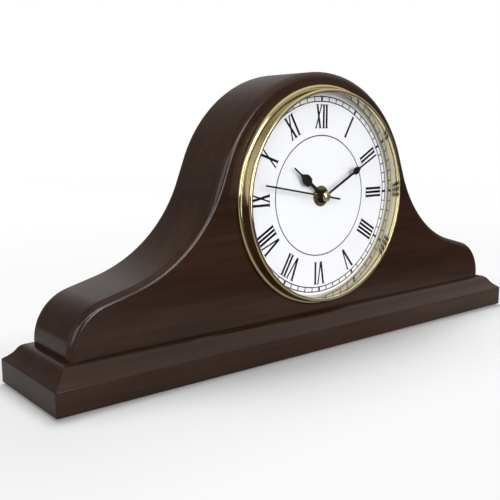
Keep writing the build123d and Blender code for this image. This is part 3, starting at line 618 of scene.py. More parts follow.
@dataclass
class Piece:
    """A mesh under construction that becomes one object of the scene."""

    name: str
    body: Body
    slot: Slot
    bm: bmesh.types.BMesh = field(default_factory=bmesh.new)

    def grid(self, rows: Sequence[Sequence[Vector]], closed: bool) -> list[list[bmesh.types.BMVert]]:
        """Adds a skin of quads through rows of points.

        Args:
            rows: Rows with as many points each.
            closed: Whether each row's last point joins its first.

        Returns:
            The new vertices, row by row.
        """
        made = [[self.bm.verts.new(point) for point in row] for row in rows]
        count = len(made[0])
        for lower, upper in zip(made, made[1:]):
            for index in range(count if closed else count - 1):
                after = (index + 1) % count
                self.bm.faces.new((lower[index], lower[after], upper[after], upper[index]))
        return made

    def flat_fill(self, *loops: Sequence[bmesh.types.BMVert]) -> None:
        """Fills the flat space between closed loops.

        Args:
            *loops: Vertices of each loop, in order.
        """
        edges = []
        for loop in loops:
            for first, second in zip(loop, [*loop[1:], loop[0]]):
                edges.append(self.bm.edges.get((first, second)) or self.bm.edges.new((first, second)))
        bmesh.ops.triangle_fill(self.bm, use_beauty=True, use_dissolve=False, edges=edges)

    def prism(self, outline: Sequence[Point], front: float, back: float) -> None:
        """Adds a flat plate.

        Args:
            outline: Convex outline in X and Z.
            front: Y of the side that shows.
            back: Y of the other side.
        """
        rows = [[Vector((x, y, z)) for x, z in outline] for y in (front, back)]
        made = self.grid(rows, closed=True)
        for row in made:
            self.bm.faces.new(row)

    def turned_skin(self, profile: Sequence[Point], segments: int) -> None:
        """Adds what a closed outline sweeps about the hands' axis.

        Args:
            profile: Points as (radius, Y); a radius of nought lies on the axis.
            segments: Steps round the axis.
        """
        rows = []
        for index in range(segments):
            bend = math.tau * index / segments
            rows.append([
                Vector((radius * math.sin(bend), y, HAND_AXIS.z + radius * math.cos(bend)))
                for radius, y in profile
            ])
        self.grid([*rows, rows[0]], closed=True)

    def finish(
        self, material: bpy.types.Material, replaced: Sequence[str] = (),
        sharp: float = 30.0, weighted: bool = False,
    ) -> None:
        """Turns the mesh into an object of the scene.

        Args:
            material: Finish of the whole piece.
            replaced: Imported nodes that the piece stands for.
            sharp: Angle between faces over which an edge stays crisp.
            weighted: Whether large flat faces keep their own normals.
        """
        bmesh.ops.remove_doubles(self.bm, verts=self.bm.verts, dist=WELD_GAP)
        bmesh.ops.dissolve_degenerate(self.bm, edges=self.bm.edges, dist=SLIVER)
        bmesh.ops.recalc_face_normals(self.bm, faces=self.bm.faces)
        for face in self.bm.faces:
            face.smooth = True
        for edge in self.bm.edges:
            edge.smooth = edge.calc_face_angle(0.0) < math.radians(sharp)
        mesh = bpy.data.meshes.new(self.name)
        self.bm.to_mesh(mesh)
        self.bm.free()
        made = bpy.data.objects.new(self.name, mesh)
        bpy.context.scene.collection.objects.link(made)
        mesh.materials.append(material)
        if weighted:
            made.modifiers.new("flat_faces", "WEIGHTED_NORMAL").keep_sharp = True
        settle(made, self.body, self.slot, replaced)


def settle(piece: bpy.types.Object, body: Body, slot: Slot, replaced: Sequence[str] = ()) -> None:
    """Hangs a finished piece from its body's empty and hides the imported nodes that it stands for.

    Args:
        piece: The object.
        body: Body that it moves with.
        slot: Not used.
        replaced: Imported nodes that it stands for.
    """
    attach(piece, body.value)
    if replaced:
        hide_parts(*replaced)
    LOG.info("%s: %d faces on %s", piece.name, len(piece.data.polygons), body.value)


def joint_place(name: str) -> Vector:
    """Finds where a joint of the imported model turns.

    Args:
        name: Name of the joint.

    Returns:
        A point on its axis.
    """
    return next(Vector(joint["pos_m"]) for joint in frame["joints"] if joint["name"] == name)


HAND_AXIS = joint_place("minute_turn")


# Case

@dataclass(frozen=True)
class RimPoint:
    """Point of the body's outline with the way that faces outwards."""

    x: float
    z: float
    out_x: float
    out_z: float

    def at(self, inset: float, y: float) -> Vector:
        """Returns the point moved inwards, at a depth."""
        return Vector((self.x - inset * self.out_x, y, self.z - inset * self.out_z))


@dataclass
class TambourBody:
    """The three glued layers of the body on one outline."""

    crown_radius: float = 0.0876
    crown_rise: float = 0.0740
    hollow_radius: float = 0.0904
    shoulder_radius: float = 0.0291
    side_rise: float = 0.0025
    flank_run: float = 0.0160
    shoulder_run: float = 0.0191
    edge_round: float = 0.0040
    dial_hole: float = 0.0713
    core_bore: float = 0.0760
    access_hole: float = 0.0480
    bore_segments: int = 144
    arc_step: float = 1.5
    edge_step: float = 7.5

    def __post_init__(self) -> None:
        """Reads the layers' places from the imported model."""
        low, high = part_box("case_core")
        self.foot, self.half_length = low.z, high.x
        self.core_front, self.core_back = low.y, high.y
        self.front, self.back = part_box("front_panel")[0].y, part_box("back_panel")[1].y

    def round_stretch(self, centre: Point, radius: float, start: float, end: float) -> list[RimPoint]:
        """Samples one arc of the outline.

        Args:
            centre: Middle of the arc.
            radius: Its radius, below nought where the body is hollow.
            start: Angle of the first outward way.
            end: Angle of the last outward way.

        Returns:
            The points with their outward ways.
        """
        return [
            RimPoint(*turned(angle, radius, centre), *turned(angle, 1.0))
            for angle in steps(start, end, self.arc_step)
        ]

    def outline(self) -> list[RimPoint]:
        """Samples the outline from the right foot over the crown to the left foot.

        Returns:
            The points with their outward ways.
        """
        crown = Vector((0.0, self.foot + self.crown_rise))
        shoulder = Vector((self.half_length - self.shoulder_radius, self.foot + self.side_rise))
        crown_sum = self.crown_radius + self.hollow_radius
        shoulder_sum = self.shoulder_radius + self.hollow_radius
        crown_reach = math.hypot(crown_sum, self.flank_run)
        shoulder_reach = math.hypot(shoulder_sum, self.shoulder_run)
        way = shoulder - crown
        along = (crown_reach**2 - shoulder_reach**2 + way.length_squared) / (2 * way.length)
        across = math.sqrt(crown_reach**2 - along**2)
        unit = way.normalized()
        hollow = crown + along * unit + across * Vector((-unit.y, unit.x))
        to_hollow = [math.degrees(math.atan2(*reversed(hollow - start))) for start in (crown, shoulder)]
        flank = to_hollow[0] + math.degrees(math.atan2(self.flank_run, crown_sum))
        droop = to_hollow[1] - math.degrees(math.atan2(self.shoulder_run, shoulder_sum))
        right = [RimPoint(self.half_length, self.foot, 1.0, 0.0)]
        right += self.round_stretch(tuple(shoulder), self.shoulder_radius, 0.0, droop)
        right += self.round_stretch(tuple(hollow), -self.hollow_radius, droop, flank)
        right += self.round_stretch(tuple(crown), self.crown_radius, flank, 90.0)
        left = [RimPoint(-point.x, point.z, -point.out_x, point.out_z) for point in reversed(right[:-1])]
        return right + left

    def rounded(self, side: ShowFace, y: float) -> list[Point]:
        """Draws the round of a show face at Y, from the face outwards, as (inset, Y)."""
        heart = (self.edge_round, y - side.value * self.edge_round)
        return arc(heart, self.edge_round, 90.0 * side.value, 180.0 * side.value, self.edge_step)

    def layer(self, piece: Piece, front: float, back: float, show: ShowFace | None, bore: float) -> None:
        """Adds one layer with a round hole through it.

        Args:
            piece: Piece that gets the mesh.
            front: Y of its front.
            back: Y of its back.
            show: Side whose edge is rounded, if any.
            bore: Radius of the hole.
        """
        section = [(0.0, front), (0.0, back)]
        if show is ShowFace.FRONT:
            section[:1] = self.rounded(show, front)
        elif show is ShowFace.REAR:
            section[1:] = reversed(self.rounded(show, back))
        rim = self.outline()
        skin = piece.grid([[point.at(inset, y) for point in rim] for inset, y in section], closed=False)
        circle = [
            turned(360.0 * index / self.bore_segments, bore, (0.0, HAND_AXIS.z))
            for index in range(self.bore_segments)
        ]
        wall = piece.grid([[Vector((x, y, z)) for x, z in circle] for y in (front, back)], closed=True)
        piece.flat_fill(skin[0], wall[0])
        piece.flat_fill(skin[-1], wall[-1])
        foot = [row[0] for row in skin] + [row[-1] for row in reversed(skin)]
        piece.flat_fill(foot)

    def build(self, finishes: dict[str, bpy.types.Material]) -> None:
        """Makes the front panel, the core and the back panel.

        Args:
            finishes: Materials by slot.
        """
        for name, node, slot, span, show, bore in (
            (
                "front_board", "front_panel", Slot.WOOD,
                (self.front, self.core_front), ShowFace.FRONT, self.dial_hole,
            ),
            (
                "core_board", "case_core", Slot.CORE,
                (self.core_front, self.core_back), None, self.core_bore,
            ),
            (
                "back_board", "back_panel", Slot.WOOD,
                (self.core_back, self.back), ShowFace.REAR, self.access_hole,
            ),
        ):
            piece = Piece(name, Body.CASE, slot)
            self.layer(piece, *span, show, bore)
            piece.finish(finishes[slot.value], (node,), weighted=True)


@dataclass
class MouldedBase:
    """Base with an ogee moulding round all four sides."""

    fascia_height: float = 0.0146
    moulding_width: float = 0.0123
    moulding_round: float = 0.0062
    moulding_slope: float = 59.0
    edge_ease: float = 0.0006
    corner_ease: float = 0.0007
    corner_step: float = 22.5
    ease_step: float = 30.0
    nose_end: float = 120.0

    def section(self, low: float, high: float) -> list[Point]:
        """Draws the moulding from its foot to its top.

        Args:
            low: Z of the foot.
            high: Z of the top.

        Returns:
            Points as (inset, Z).
        """
        slope = math.radians(self.moulding_slope)
        corner = Vector((0.0, low + self.fascia_height))
        middle = (self.moulding_width, high - self.moulding_round)
        swell = arc(middle, self.moulding_round, 90.0 + self.moulding_slope, 90.0)
        joint = Vector(swell[0])
        normal = Vector((-math.sin(slope), math.cos(slope)))
        way = corner - joint
        reach = way.length_squared / (2 * way.dot(normal))
        heart = joint + reach * normal
        angles = [math.degrees(math.atan2(*reversed(point - heart))) for point in (corner, joint)]
        cove = arc(tuple(heart), reach, *angles)
        ease = self.edge_ease
        foot = arc((ease, low + ease), ease, 270.0, 180.0, self.ease_step)
        nose = arc((ease, corner.y - ease), ease, 180.0, self.nose_end, self.ease_step)
        return [*foot, *nose, *cove[1:], *swell[1:]]

    def build(self, finishes: dict[str, bpy.types.Material]) -> None:
        """Makes the base.

        Args:
            finishes: Materials by slot.
        """
        low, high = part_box("base_plinth")
        rows = []
        for inset, z in self.section(low.z, high.z):
            row = []
            for quarter, (sign_x, sign_y) in enumerate(((1, 1), (-1, 1), (-1, -1), (1, -1))):
                heart = (
                    sign_x * (high.x - inset - self.corner_ease),
                    sign_y * (high.y - inset - self.corner_ease),
                )
                row += [
                    Vector((x, y, z)) for x, y in
                    arc(heart, self.corner_ease, 90.0 * quarter, 90.0 * (quarter + 1), self.corner_step)
                ]
            rows.append(row)
        piece = Piece("base", Body.CASE, Slot.WOOD)
        skin = piece.grid(rows, closed=True)
        for row in (skin[0], skin[-1]):
            piece.bm.faces.new(row)
        piece.finish(finishes[Slot.WOOD.value], ("base_plinth",), weighted=True)


# Dial insert

@dataclass
class DialInsert:
    """Bezel, polished sleeve and the brass cap of the hands."""

    bezel_bore: float = 0.0699
    skirt_wall: float = 0.0007
    skirt_depth: float = 0.0110
    flange_overlap: float = 0.0026
    flange_bead_height: float = 0.0029
    flange_bead_width: float = 0.0018
    flange_bead_swell: float = 0.0003
    neck_wall: float = 0.00095
    neck_height: float = 0.0074
    crown_bead: float = 0.0012
    crown_shoulder: float = 20.0
    crown_inner_round: float = 0.0005
    lip_overlap: float = 0.0010
    lens_seat: float = 0.0076
    sleeve_front_wall: float = 0.0011
    sleeve_back_wall: float = 0.0014
    cap_rim: float = 0.00045
    bead_step: float = 9.0
    bezel_crease: float = 40.0
    segments: int = 240
    dome_step: float = 4.0
    dome_segments: int = 60

    def __post_init__(self) -> None:
        """Reads the insert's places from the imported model."""
        self.case_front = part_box("front_panel")[0].y
        self.height = self.case_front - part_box("bezel")[0].y
        self.flange_radius = TambourBody.dial_hole + self.flange_overlap
        self.sleeve_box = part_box("reflector_sleeve")
        self.cap_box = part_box("hand_cap")

    def through(self, first: Point, middle: Point, last: Point) -> list[Point]:
        """Draws the arc through three points.

        Args:
            first: Start of the arc.
            middle: A point on its way.
            last: End of the arc.

        Returns:
            Points along it, both ends included.
        """
        a, b, c = (Vector(point) for point in (first, middle, last))
        turn = 2 * (a.x * (b.y - c.y) + b.x * (c.y - a.y) + c.x * (a.y - b.y))
        squares = [point.length_squared for point in (a, b, c)]
        heart = Vector((
            (squares[0] * (b.y - c.y) + squares[1] * (c.y - a.y) + squares[2] * (a.y - b.y)) / turn,
            (squares[0] * (c.x - b.x) + squares[1] * (a.x - c.x) + squares[2] * (b.x - a.x)) / turn,
        ))
        angles = [math.degrees(math.atan2(*reversed(point - heart))) for point in (a, b, c)]
        sweep = (angles[2] - angles[0]) % 360.0
        if (angles[1] - angles[0]) % 360.0 > sweep:
            sweep -= 360.0
        return arc(tuple(heart), (a - heart).length, angles[0], angles[0] + sweep, self.bead_step)

    def bezel_profile(self) -> list[Point]:
        """Draws the bezel's section.

        Returns:
            Closed outline as (radius, height over the case's front).
        """
        skirt = self.bezel_bore + self.skirt_wall
        bead_inner = self.flange_radius - self.flange_bead_width
        neck = self.bezel_bore + self.neck_wall
        lip = self.bezel_bore - self.lip_overlap
        crown = (lip + self.crown_bead, self.height - self.crown_bead)
        bead_top = (bead_inner, self.flange_bead_height)
        neck_top = (neck, self.neck_height)
        flange_middle = (self.flange_radius + self.flange_bead_swell, self.flange_bead_height / 2)
        crown_middle = turned(self.crown_shoulder, self.crown_bead, crown)
        outline = [
            (lip, self.lens_seat), (self.bezel_bore, self.lens_seat), (self.bezel_bore, -self.skirt_depth),
            (skirt, -self.skirt_depth), (skirt, 0.0),
        ]
        outline += self.through((self.flange_radius, 0.0), flange_middle, bead_top)
        outline += self.through(neck_top, crown_middle, (crown[0], self.height))
        inner = (lip + self.crown_inner_round, self.height - self.crown_inner_round)
        outline += arc(inner, self.crown_inner_round, 90.0, 180.0, self.bead_step)
        return outline

    def seated(self, profile: Sequence[Point]) -> list[Point]:
        """Turns heights over the case's front into Y."""
        return [(radius, self.case_front - height) for radius, height in profile]

    def build(self, finishes: dict[str, bpy.types.Material]) -> None:
        """Makes the three turned pieces.

        Args:
            finishes: Materials by slot.
        """
        ring = Piece("bezel_ring", Body.CASE, Slot.BEZEL)
        ring.turned_skin(self.seated(self.bezel_profile()), self.segments)
        ring.finish(finishes[Slot.BEZEL.value], ("bezel",), sharp=self.bezel_crease)

        low, high = self.sleeve_box
        sleeve = Piece("polished_sleeve", Body.CASE, Slot.SLEEVE)
        sleeve.turned_skin([
            (high.x, low.y), (high.x, high.y), (high.x - self.sleeve_back_wall, high.y),
            (high.x - self.sleeve_front_wall, low.y),
        ], self.segments)
        sleeve.finish(finishes[Slot.SLEEVE.value], ("reflector_sleeve",))

        low, high = self.cap_box
        rise = high.y - self.cap_rim - low.y
        dome = (high.x**2 + rise**2) / (2 * rise)
        spread = math.degrees(math.asin(high.x / dome))
        crown = []
        for bend in steps(0.0, spread, self.dome_step):
            depth, radius = turned(bend, dome)
            crown.append((radius, low.y + dome - depth))
        cap = Piece("domed_cap", Body.SECONDS, Slot.BRASS)
        cap.turned_skin([*crown, (high.x, high.y), (0.0, high.y)], self.dome_segments)
        cap.finish(finishes[Slot.BRASS.value], ("hand_cap",))


class Letter(str, Enum):
    """Letters that the hours are written with."""

    I = "I"
    V = "V"
    X = "X"


@dataclass
class DialPrint:
    """Ink on the dial: hours, minute track and inner ring."""

    inner_ring: float = 0.0408
    numeral_foot: float = 0.0455
    numeral_top: float = 0.0613
    track_inner: float = 0.0633
    track_outer: float = 0.0665
    line: float = 0.00070
    fine_tick: float = 0.00076
    bold_tick: float = 0.00160
    marks: int = 60
    marks_per_hour: int = 5
    thick: float = 0.00172
    thin: float = 0.00112
    serif: float = 0.00042
    serif_reach: float = 0.00055
    pitch: float = 0.0027
    v_width: float = 0.0050
    x_thick_run: float = 0.0028
    x_thin_run: float = 0.0049
    ink: float = 0.00003
    ring_segments: int = 240
    hours: tuple[str, ...] = ("XII", "I", "II", "III", "IIII", "V", "VI", "VII", "VIII", "IX", "X", "XI")

    def __post_init__(self) -> None:
        """Reads the dial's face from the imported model."""
        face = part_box("dial_plate")[0].y
        self.front, self.back = face - self.ink, face + self.ink
        self.height = self.numeral_top - self.numeral_foot

    def width(self, letter: Letter) -> float:
        """Returns the width between the middles of a letter's outer strokes."""
        x_width = (self.x_thick_run + self.x_thin_run) / 2
        return {Letter.I: 0.0, Letter.V: self.v_width, Letter.X: x_width}[letter]

    @staticmethod
    def bar(low: Point, high: Point, width: float) -> list[Point]:
        """Draws a stroke with level ends.

        Args:
            low: Middle of its lower end.
            high: Middle of its upper end.
            width: Width across, measured level.

        Returns:
            Its outline, as (across, up).
        """
        half = width / 2
        return [
            (low[0] - half, low[1]), (low[0] + half, low[1]),
            (high[0] + half, high[1]), (high[0] - half, high[1]),
        ]

    def foot_serif(self, middle: float, stroke: float) -> list[Point]:
        """Draws the short line under a stroke."""
        return self.bar((middle, 0.0), (middle, self.serif), stroke + 2 * self.serif_reach)

    def head_serif(self, middle: float, stroke: float) -> list[Point]:
        """Draws the short line over a stroke."""
        foot = self.height - self.serif
        return self.bar((middle, foot), (middle, self.height), stroke + 2 * self.serif_reach)

    def strokes(self, letter: Letter) -> list[list[Point]]:
        """Draws a letter about its middle line.

        Args:
            letter: Which letter.

        Returns:
            Convex outlines, as (across, up).
        """
        low, high = self.serif, self.height - self.serif
        half = self.width(letter) / 2
        if letter is Letter.I:
            return [
                self.bar((0.0, low), (0.0, high), self.thick),
                self.foot_serif(0.0, self.thick), self.head_serif(0.0, self.thick),
            ]
        if letter is Letter.V:
            tip = (self.thick - self.thin) / 2
            return [
                self.bar((0.0, 0.0), (-half, high), self.thick),
                self.bar((tip, 0.0), (half, high), self.thin),
                self.head_serif(-half, self.thick), self.head_serif(half, self.thin),
            ]
        thick, thin = self.x_thick_run / 2, self.x_thin_run / 2
        return [
            self.bar((thick, low), (-thick, high), self.thick),
            self.bar((-thin, low), (thin, high), self.thin),
            self.foot_serif(-thin, self.thin), self.foot_serif(thick, self.thick),
            self.head_serif(-thick, self.thick), self.head_serif(thin, self.thin),
        ]

    def on_dial(self, across: float, up: float, angle: float) -> Point:
        """Places a point of a numeral whose foot is towards the hands.

        Args:
            across: Distance clockwise from the numeral's middle.
            up: Distance outwards from its foot.
            angle: Clockwise angle of the hour from twelve.

        Returns:
            The point in X and Z.
        """
        bend = math.radians(angle)
        radius = self.numeral_foot + up
        return (
            radius * math.sin(bend) + across * math.cos(bend),
            HAND_AXIS.z + radius * math.cos(bend) - across * math.sin(bend),
        )

    def numerals(self, piece: Piece) -> None:
        """Adds the twelve hours.

        Args:
            piece: Piece that gets the ink.
        """
        turn = 360.0 / len(self.hours)
        for hour, text in enumerate(self.hours):
            letters = [Letter(letter) for letter in text]
            total = sum(self.width(letter) for letter in letters) + self.pitch * (len(letters) - 1)
            start = -total / 2
            for letter in letters:
                middle = start + self.width(letter) / 2
                for stroke in self.strokes(letter):
                    outline = [self.on_dial(middle + across, up, turn * hour) for across, up in stroke]
                    piece.prism(outline, self.front, self.back)
                start += self.width(letter) + self.pitch

    def ring(self, piece: Piece, radius: float) -> None:
        """Adds a thin printed circle.

        Args:
            piece: Piece that gets the ink.
            radius: Radius to the middle of the line.
        """
        inner, outer = radius - self.line / 2, radius + self.line / 2
        section = [(inner, self.front), (outer, self.front), (outer, self.back), (inner, self.back)]
        piece.turned_skin(section, self.ring_segments)

    def track_tree(self) -> bpy.types.NodeTree:
        """Builds the nodes that set the minute marks round the dial.

        Returns:
            The geometry node tree.
        """
        tree = bpy.data.node_groups.new("minute_marks", "GeometryNodeTree")
        sheet = NodeSheet(tree)
        for name, kind in (
            ("Marks", "NodeSocketInt"), ("Marks per Hour", "NodeSocketInt"),
            ("Inner Radius", "NodeSocketFloat"), ("Outer Radius", "NodeSocketFloat"),
            ("Fine Width", "NodeSocketFloat"), ("Bold Width", "NodeSocketFloat"),
            ("Ink Depth", "NodeSocketFloat"), ("Centre", "NodeSocketVector"), ("Ink", "NodeSocketMaterial"),
        ):
            tree.interface.new_socket(name, in_out="INPUT", socket_type=kind)
        tree.interface.new_socket("Geometry", in_out="OUTPUT", socket_type="NodeSocketGeometry")
        given = tree.nodes.new("NodeGroupInput").outputs
        index = sheet.add("GeometryNodeInputIndex").outputs[0]
        bend = sheet.maths("MULTIPLY", sheet.maths("DIVIDE", index, given["Marks"]), math.tau)
        both = sheet.maths("ADD", given["Inner Radius"], given["Outer Radius"])
        middle = sheet.maths("MULTIPLY", both, 0.5)
        place = sheet.add("ShaderNodeCombineXYZ", {
            "X": sheet.maths("MULTIPLY", middle, sheet.maths("SINE", bend)),
            "Z": sheet.maths("MULTIPLY", middle, sheet.maths("COSINE", bend)),
        }).outputs[0]
        points = sheet.add("GeometryNodePoints", {"Count": given["Marks"], "Position": place}).outputs[0]
        bold = sheet.maths("LESS_THAN", sheet.maths("MODULO", index, given["Marks per Hour"]), 0.5)
        width = sheet.add("GeometryNodeSwitch", {
            "Switch": bold, "False": given["Fine Width"], "True": given["Bold Width"],
        }, input_type="FLOAT").outputs[0]
        length = sheet.maths("SUBTRACT", given["Outer Radius"], given["Inner Radius"])
        size = sheet.add("ShaderNodeCombineXYZ", {
            "X": width, "Y": given["Ink Depth"], "Z": length,
        }).outputs[0]
        turn = sheet.add("ShaderNodeCombineXYZ", {"Y": bend}).outputs[0]
        block = sheet.add("GeometryNodeMeshCube").outputs[0]
        spread = sheet.add("GeometryNodeInstanceOnPoints", {
            "Points": points, "Instance": block, "Rotation": turn, "Scale": size,
        }).outputs[0]
        seated = sheet.add("GeometryNodeTransform", {
            "Geometry": spread, "Translation": given["Centre"],
        }).outputs[0]
        solid = sheet.add("GeometryNodeRealizeInstances", {"Geometry": seated}).outputs[0]
        inked = sheet.add("GeometryNodeSetMaterial", {"Geometry": solid, "Material": given["Ink"]}).outputs[0]
        sheet.feed(tree.nodes.new("NodeGroupOutput").inputs[0], inked)
        return tree

    def minute_marks(self, ink: bpy.types.Material) -> None:
        """Makes the marks of the minute track.

        Args:
            ink: Material of the print.
        """
        holder = bpy.data.objects.new("minute_marks", bpy.data.meshes.new("minute_marks_start"))
        bpy.context.scene.collection.objects.link(holder)
        tree = self.track_tree()
        modifier = holder.modifiers.new("minute_marks", "NODES")
        modifier.node_group = tree
        values = {
            "Marks": self.marks, "Marks per Hour": self.marks_per_hour, "Inner Radius": self.track_inner,
            "Outer Radius": self.track_outer, "Fine Width": self.fine_tick, "Bold Width": self.bold_tick,
            "Ink Depth": self.back - self.front, "Ink": ink,
            "Centre": (0.0, (self.front + self.back) / 2, HAND_AXIS.z),
        }
        for socket in tree.interface.items_tree:
            if socket.in_out == "INPUT":
                modifier[socket.identifier] = values[socket.name]
        bpy.context.view_layer.update()
        shown = holder.evaluated_get(bpy.context.evaluated_depsgraph_get())
        mesh = bpy.data.meshes.new_from_object(shown)
        holder.modifiers.clear()
        holder.data = mesh
        settle(holder, Body.CASE, Slot.INK)

    def build(self, finishes: dict[str, bpy.types.Material]) -> None:
        """Prints the dial.

        Args:
            finishes: Materials by slot.
        """
        ink = finishes[Slot.INK.value]
        hours = Piece("hour_numerals", Body.CASE, Slot.INK)
        self.numerals(hours)
        hours.finish(ink)
        rings = Piece("dial_rings", Body.CASE, Slot.INK)
        for radius in (self.inner_ring, self.track_inner, self.track_outer):
            self.ring(rings, radius)
        rings.finish(ink)
        self.minute_marks(ink)


# Studio

@dataclass(frozen=True)
class Softbox:
    """Large flat lamp aimed at the clock."""

    name: str
    place: tuple[float, float, float]
    size: Point
    power: float
    mirrored: bool = True
    kept_off: tuple[str, ...] = ()

    def build(self, target: Vector) -> None:
        """Adds the lamp, with a flag that keeps it off the named pieces.

        Args:
            target: Point that it faces.
        """
        lamp = bpy.data.lights.new(self.name, "AREA")
        lamp.shape = "RECTANGLE"
        lamp.size, lamp.size_y = self.size
        lamp.energy = self.power
        holder = bpy.data.objects.new(self.name, lamp)
        holder.location = self.place
        holder.rotation_euler = (target - holder.location).to_track_quat("-Z", "Y").to_euler()
        holder.visible_glossy = self.mirrored
        if self.kept_off:
            flagged = bpy.data.collections.new(f"{self.name}_flagged")
            for name in self.kept_off:
                flagged.objects.link(bpy.data.objects[name])
            for entry in flagged.collection_objects:
                entry.light_linking.link_state = "EXCLUDE"
            holder.light_linking.receiver_collection = flagged
        bpy.context.scene.collection.objects.link(holder)


@dataclass(frozen=True)
class Glow:
    """Bright part of the room that mirrors and glass see."""

    way: tuple[float, float, float]
    spread: Point
    strength: float

    def build(self, sheet: NodeSheet, way: bpy.types.NodeSocket) -> bpy.types.NodeSocket:
        """Adds the glow's nodes to a sheet and returns its strength in the direction looked in."""
        facing = sheet.vectors("DOT_PRODUCT", way, Vector(self.way).normalized())["Value"]
        return sheet.remapped(facing, self.spread, (0.0, self.strength))


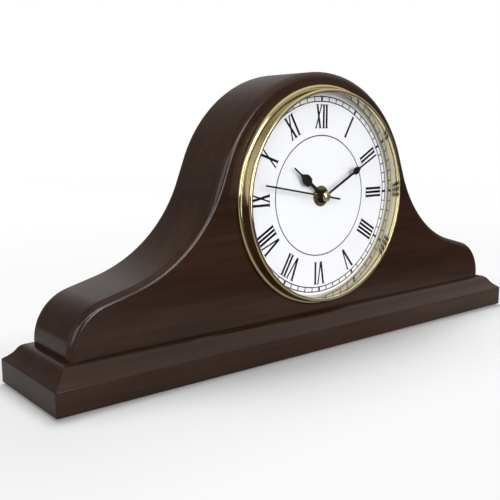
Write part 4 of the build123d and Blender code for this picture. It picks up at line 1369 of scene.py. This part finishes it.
@dataclass
class Studio:
    """Pale floor, backdrop, lamps and the camera of the photograph's view."""

    camera_place: tuple[float, float, float] = (-0.35184, -0.37783, 0.14944)
    azimuth: float = -39.2203
    elevation: float = 9.3914
    lens: float = 52.60
    sensor: float = 36.0
    floor_half: float = 0.80
    floor_turn: float = -75.0
    floor_reach: float = 0.175
    floor_albedo: float = 0.94
    floor_rough: float = 0.9
    floor_shine: float = 0.1
    floor_least_white: float = 0.12
    foot: Point = (0.203, 0.0375)
    floor_white: float = 0.955
    floor_mirrored: float = 0.42
    floor_mirrored_twice: float = 0.15
    white_reach: Point = (0.25, 0.70)
    white_heights: Point = (-0.25, -0.05)
    white_fade: Point = (0.0, 0.11)
    room_low: float = 0.06
    room_high: float = 0.26
    room_heights: Point = (-0.1, 0.9)
    glows: tuple[Glow, ...] = (
        Glow((0.24, 0.94, 0.13), (0.87, 0.96), 0.43),
        Glow((-0.90, 0.24, 0.12), (0.66, 1.00), 0.46),
        Glow((0.45, -0.30, 0.84), (0.52, 0.90), 0.45),
    )
    lamps: tuple[Softbox, ...] = (
        Softbox("key_softbox", (0.00, -2.25, 1.05), (1.30, 0.42), 12.6),
        Softbox("corner_softbox", (-1.60, -1.45, 0.70), (1.70, 1.20), 14.4),
        Softbox(
            "fill_softbox", (0.48, -2.20, 0.18), (0.42, 0.90), 10.3,
            kept_off=("core_board", "back_board"),
        ),
        Softbox("top_softbox", (0.10, 0.40, 1.25), (0.90, 0.70), 10.5, mirrored=False),
    )

    @staticmethod
    def mirrored(sheet: NodeSheet) -> bpy.types.NodeSocket:
        """Tells whether a mirror or a glass looks, as 0 or 1."""
        path = sheet.add("ShaderNodeLightPath").outputs
        return sheet.maths("MAXIMUM", path[Ray.GLOSSY.value], path[Ray.TRANSMISSION.value])

    def seen(self, sheet: NodeSheet) -> bpy.types.NodeSocket:
        """Tells whether the eye, a mirror or a glass looks, as 0 or 1."""
        eye = sheet.add("ShaderNodeLightPath").outputs[Ray.CAMERA.value]
        return sheet.maths("MAXIMUM", eye, self.mirrored(sheet))

    def floor(self) -> None:
        """Adds the floor: shaded paper by the clock's foot, white farther off and dimmer in mirrors."""
        edge = Vector((*turned(self.floor_turn, 1.0), 0.0))
        side = Vector((-edge.y, edge.x, 0.0))
        near, far = self.floor_reach, self.floor_reach - 2 * self.floor_half
        mesh = bpy.data.meshes.new("floor")
        mesh.from_pydata([
            along * edge + across * self.floor_half * side for along, across in
            ((near, -1), (near, 1), (far, 1), (far, -1))
        ], [], [(0, 1, 2, 3)])
        ground = bpy.data.objects.new("floor", mesh)
        bpy.context.scene.collection.objects.link(ground)
        surface = Surface("pale_floor", {
            "Roughness": self.floor_rough, "Specular IOR Level": self.floor_shine,
        })
        to_first = surface.remapped(self.mirrored(surface), (0.0, 1.0), (1.0, self.floor_mirrored))
        mirrors = surface.add("ShaderNodeLightPath").outputs[Ray.MIRRORS.value]
        to_second = surface.remapped(mirrors, (1.0, 2.0), (1.0, self.floor_mirrored_twice))
        to_mirrors = surface.maths("MULTIPLY", to_first, to_second)
        albedo = surface.maths("MULTIPLY", to_mirrors, self.floor_albedo)
        surface.feed(surface.shader.inputs["Base Color"], albedo)
        beyond = surface.vectors("ABSOLUTE", surface.place)["Vector"]
        beyond = surface.vectors("SUBTRACT", beyond, (*self.foot, 0.0))["Vector"]
        beyond = surface.vectors("MAXIMUM", beyond)["Vector"]
        away = surface.vectors("LENGTH", beyond)["Value"]
        white = surface.remapped(away, self.white_fade, (self.floor_least_white, 1.0))
        share = surface.maths("MULTIPLY", white, self.seen(surface))
        to_eye = surface.remapped(away, self.white_reach, (self.floor_white, 1.0))
        glare = surface.maths("MULTIPLY", to_eye, to_mirrors)
        paper = surface.add("ShaderNodeEmission", {"Color": WHITE, "Strength": glare})
        mix = surface.add("ShaderNodeMixShader", {
            0: share, 1: surface.shader.outputs[0], 2: paper.outputs[0],
        })
        surface.feed(surface.output.inputs["Surface"], mix.outputs[0])
        mesh.materials.append(surface.material)
        ground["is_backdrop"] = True

    def room(self) -> None:
        """Sets the world: a dim room, glows that mirrors and glass see, and white for the eye."""
        world = bpy.data.worlds.new("studio")
        bpy.context.scene.world = world
        world.use_nodes = True
        sheet = NodeSheet(world.node_tree)
        way = sheet.add("ShaderNodeTexCoord").outputs["Generated"]
        height = sheet.add("ShaderNodeSeparateXYZ", {"Vector": way}).outputs["Z"]
        level = sheet.remapped(height, self.room_heights, (self.room_low, self.room_high))
        mirrored = self.mirrored(sheet)
        for glow in self.glows:
            level = sheet.maths("ADD", level, sheet.maths("MULTIPLY", glow.build(sheet, way), mirrored))
        eye = sheet.maths("MULTIPLY", sheet.add("ShaderNodeLightPath").outputs[Ray.CAMERA.value],
                          sheet.remapped(height, self.white_heights, (self.floor_white, 1.0)))
        strength = sheet.maths("MAXIMUM", level, eye)
        back = world.node_tree.nodes["Background"]
        back.inputs["Color"].default_value = WHITE
        sheet.feed(back.inputs["Strength"], strength)

    def camera(self) -> None:
        """Adds the camera."""
        data = bpy.data.cameras.new("camera")
        data.lens, data.sensor_width, data.sensor_fit = self.lens, self.sensor, "HORIZONTAL"
        holder = bpy.data.objects.new("camera", data)
        bpy.context.scene.collection.objects.link(holder)
        turn, rise = math.radians(self.azimuth), math.radians(self.elevation)
        back = Vector((math.sin(turn) * math.cos(rise), -math.cos(turn) * math.cos(rise), math.sin(rise)))
        facing = back.to_track_quat("Z", "Y").to_matrix().to_4x4()
        holder.matrix_world = Matrix.Translation(self.camera_place) @ facing
        bpy.context.scene.camera = holder

    def build(self) -> None:
        """Makes everything round the clock."""
        self.floor()
        self.room()
        self.camera()
        for lamp in self.lamps:
            lamp.build(HAND_AXIS)
        bpy.context.scene.view_settings.view_transform = "Standard"


def dress_nodes(finishes: dict[str, bpy.types.Material]) -> None:
    """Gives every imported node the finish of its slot.

    Args:
        finishes: Materials by slot.
    """
    for part in frame["record"]["subparts"]:
        node = frame["nodes"][part["node"]]
        node.data.materials.clear()
        node.data.materials.append(finishes[part["material_slot"]])
        LOG.info("%s takes %s", part["node"], part["material_slot"])


def write_sizes() -> None:
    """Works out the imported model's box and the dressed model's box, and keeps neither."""
    boxes = {"cad": CAD_BOX, "visual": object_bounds()}
    {name: [list(corner) for corner in box] for name, box in boxes.items()}


def main() -> None:
    """Builds the finishes, the clock's pieces and the studio."""
    logging.basicConfig(level=logging.INFO, format="%(message)s")
    effects = Effects()
    finishes = {slot: finish.build(slot, effects) for slot, finish in FINISHES.items()}
    dress_nodes(finishes)
    for assembly in (TambourBody(), MouldedBase(), DialInsert(), DialPrint()):
        assembly.build(finishes)
    Studio().build()
    write_sizes()


if __name__ == "__main__":
    main()
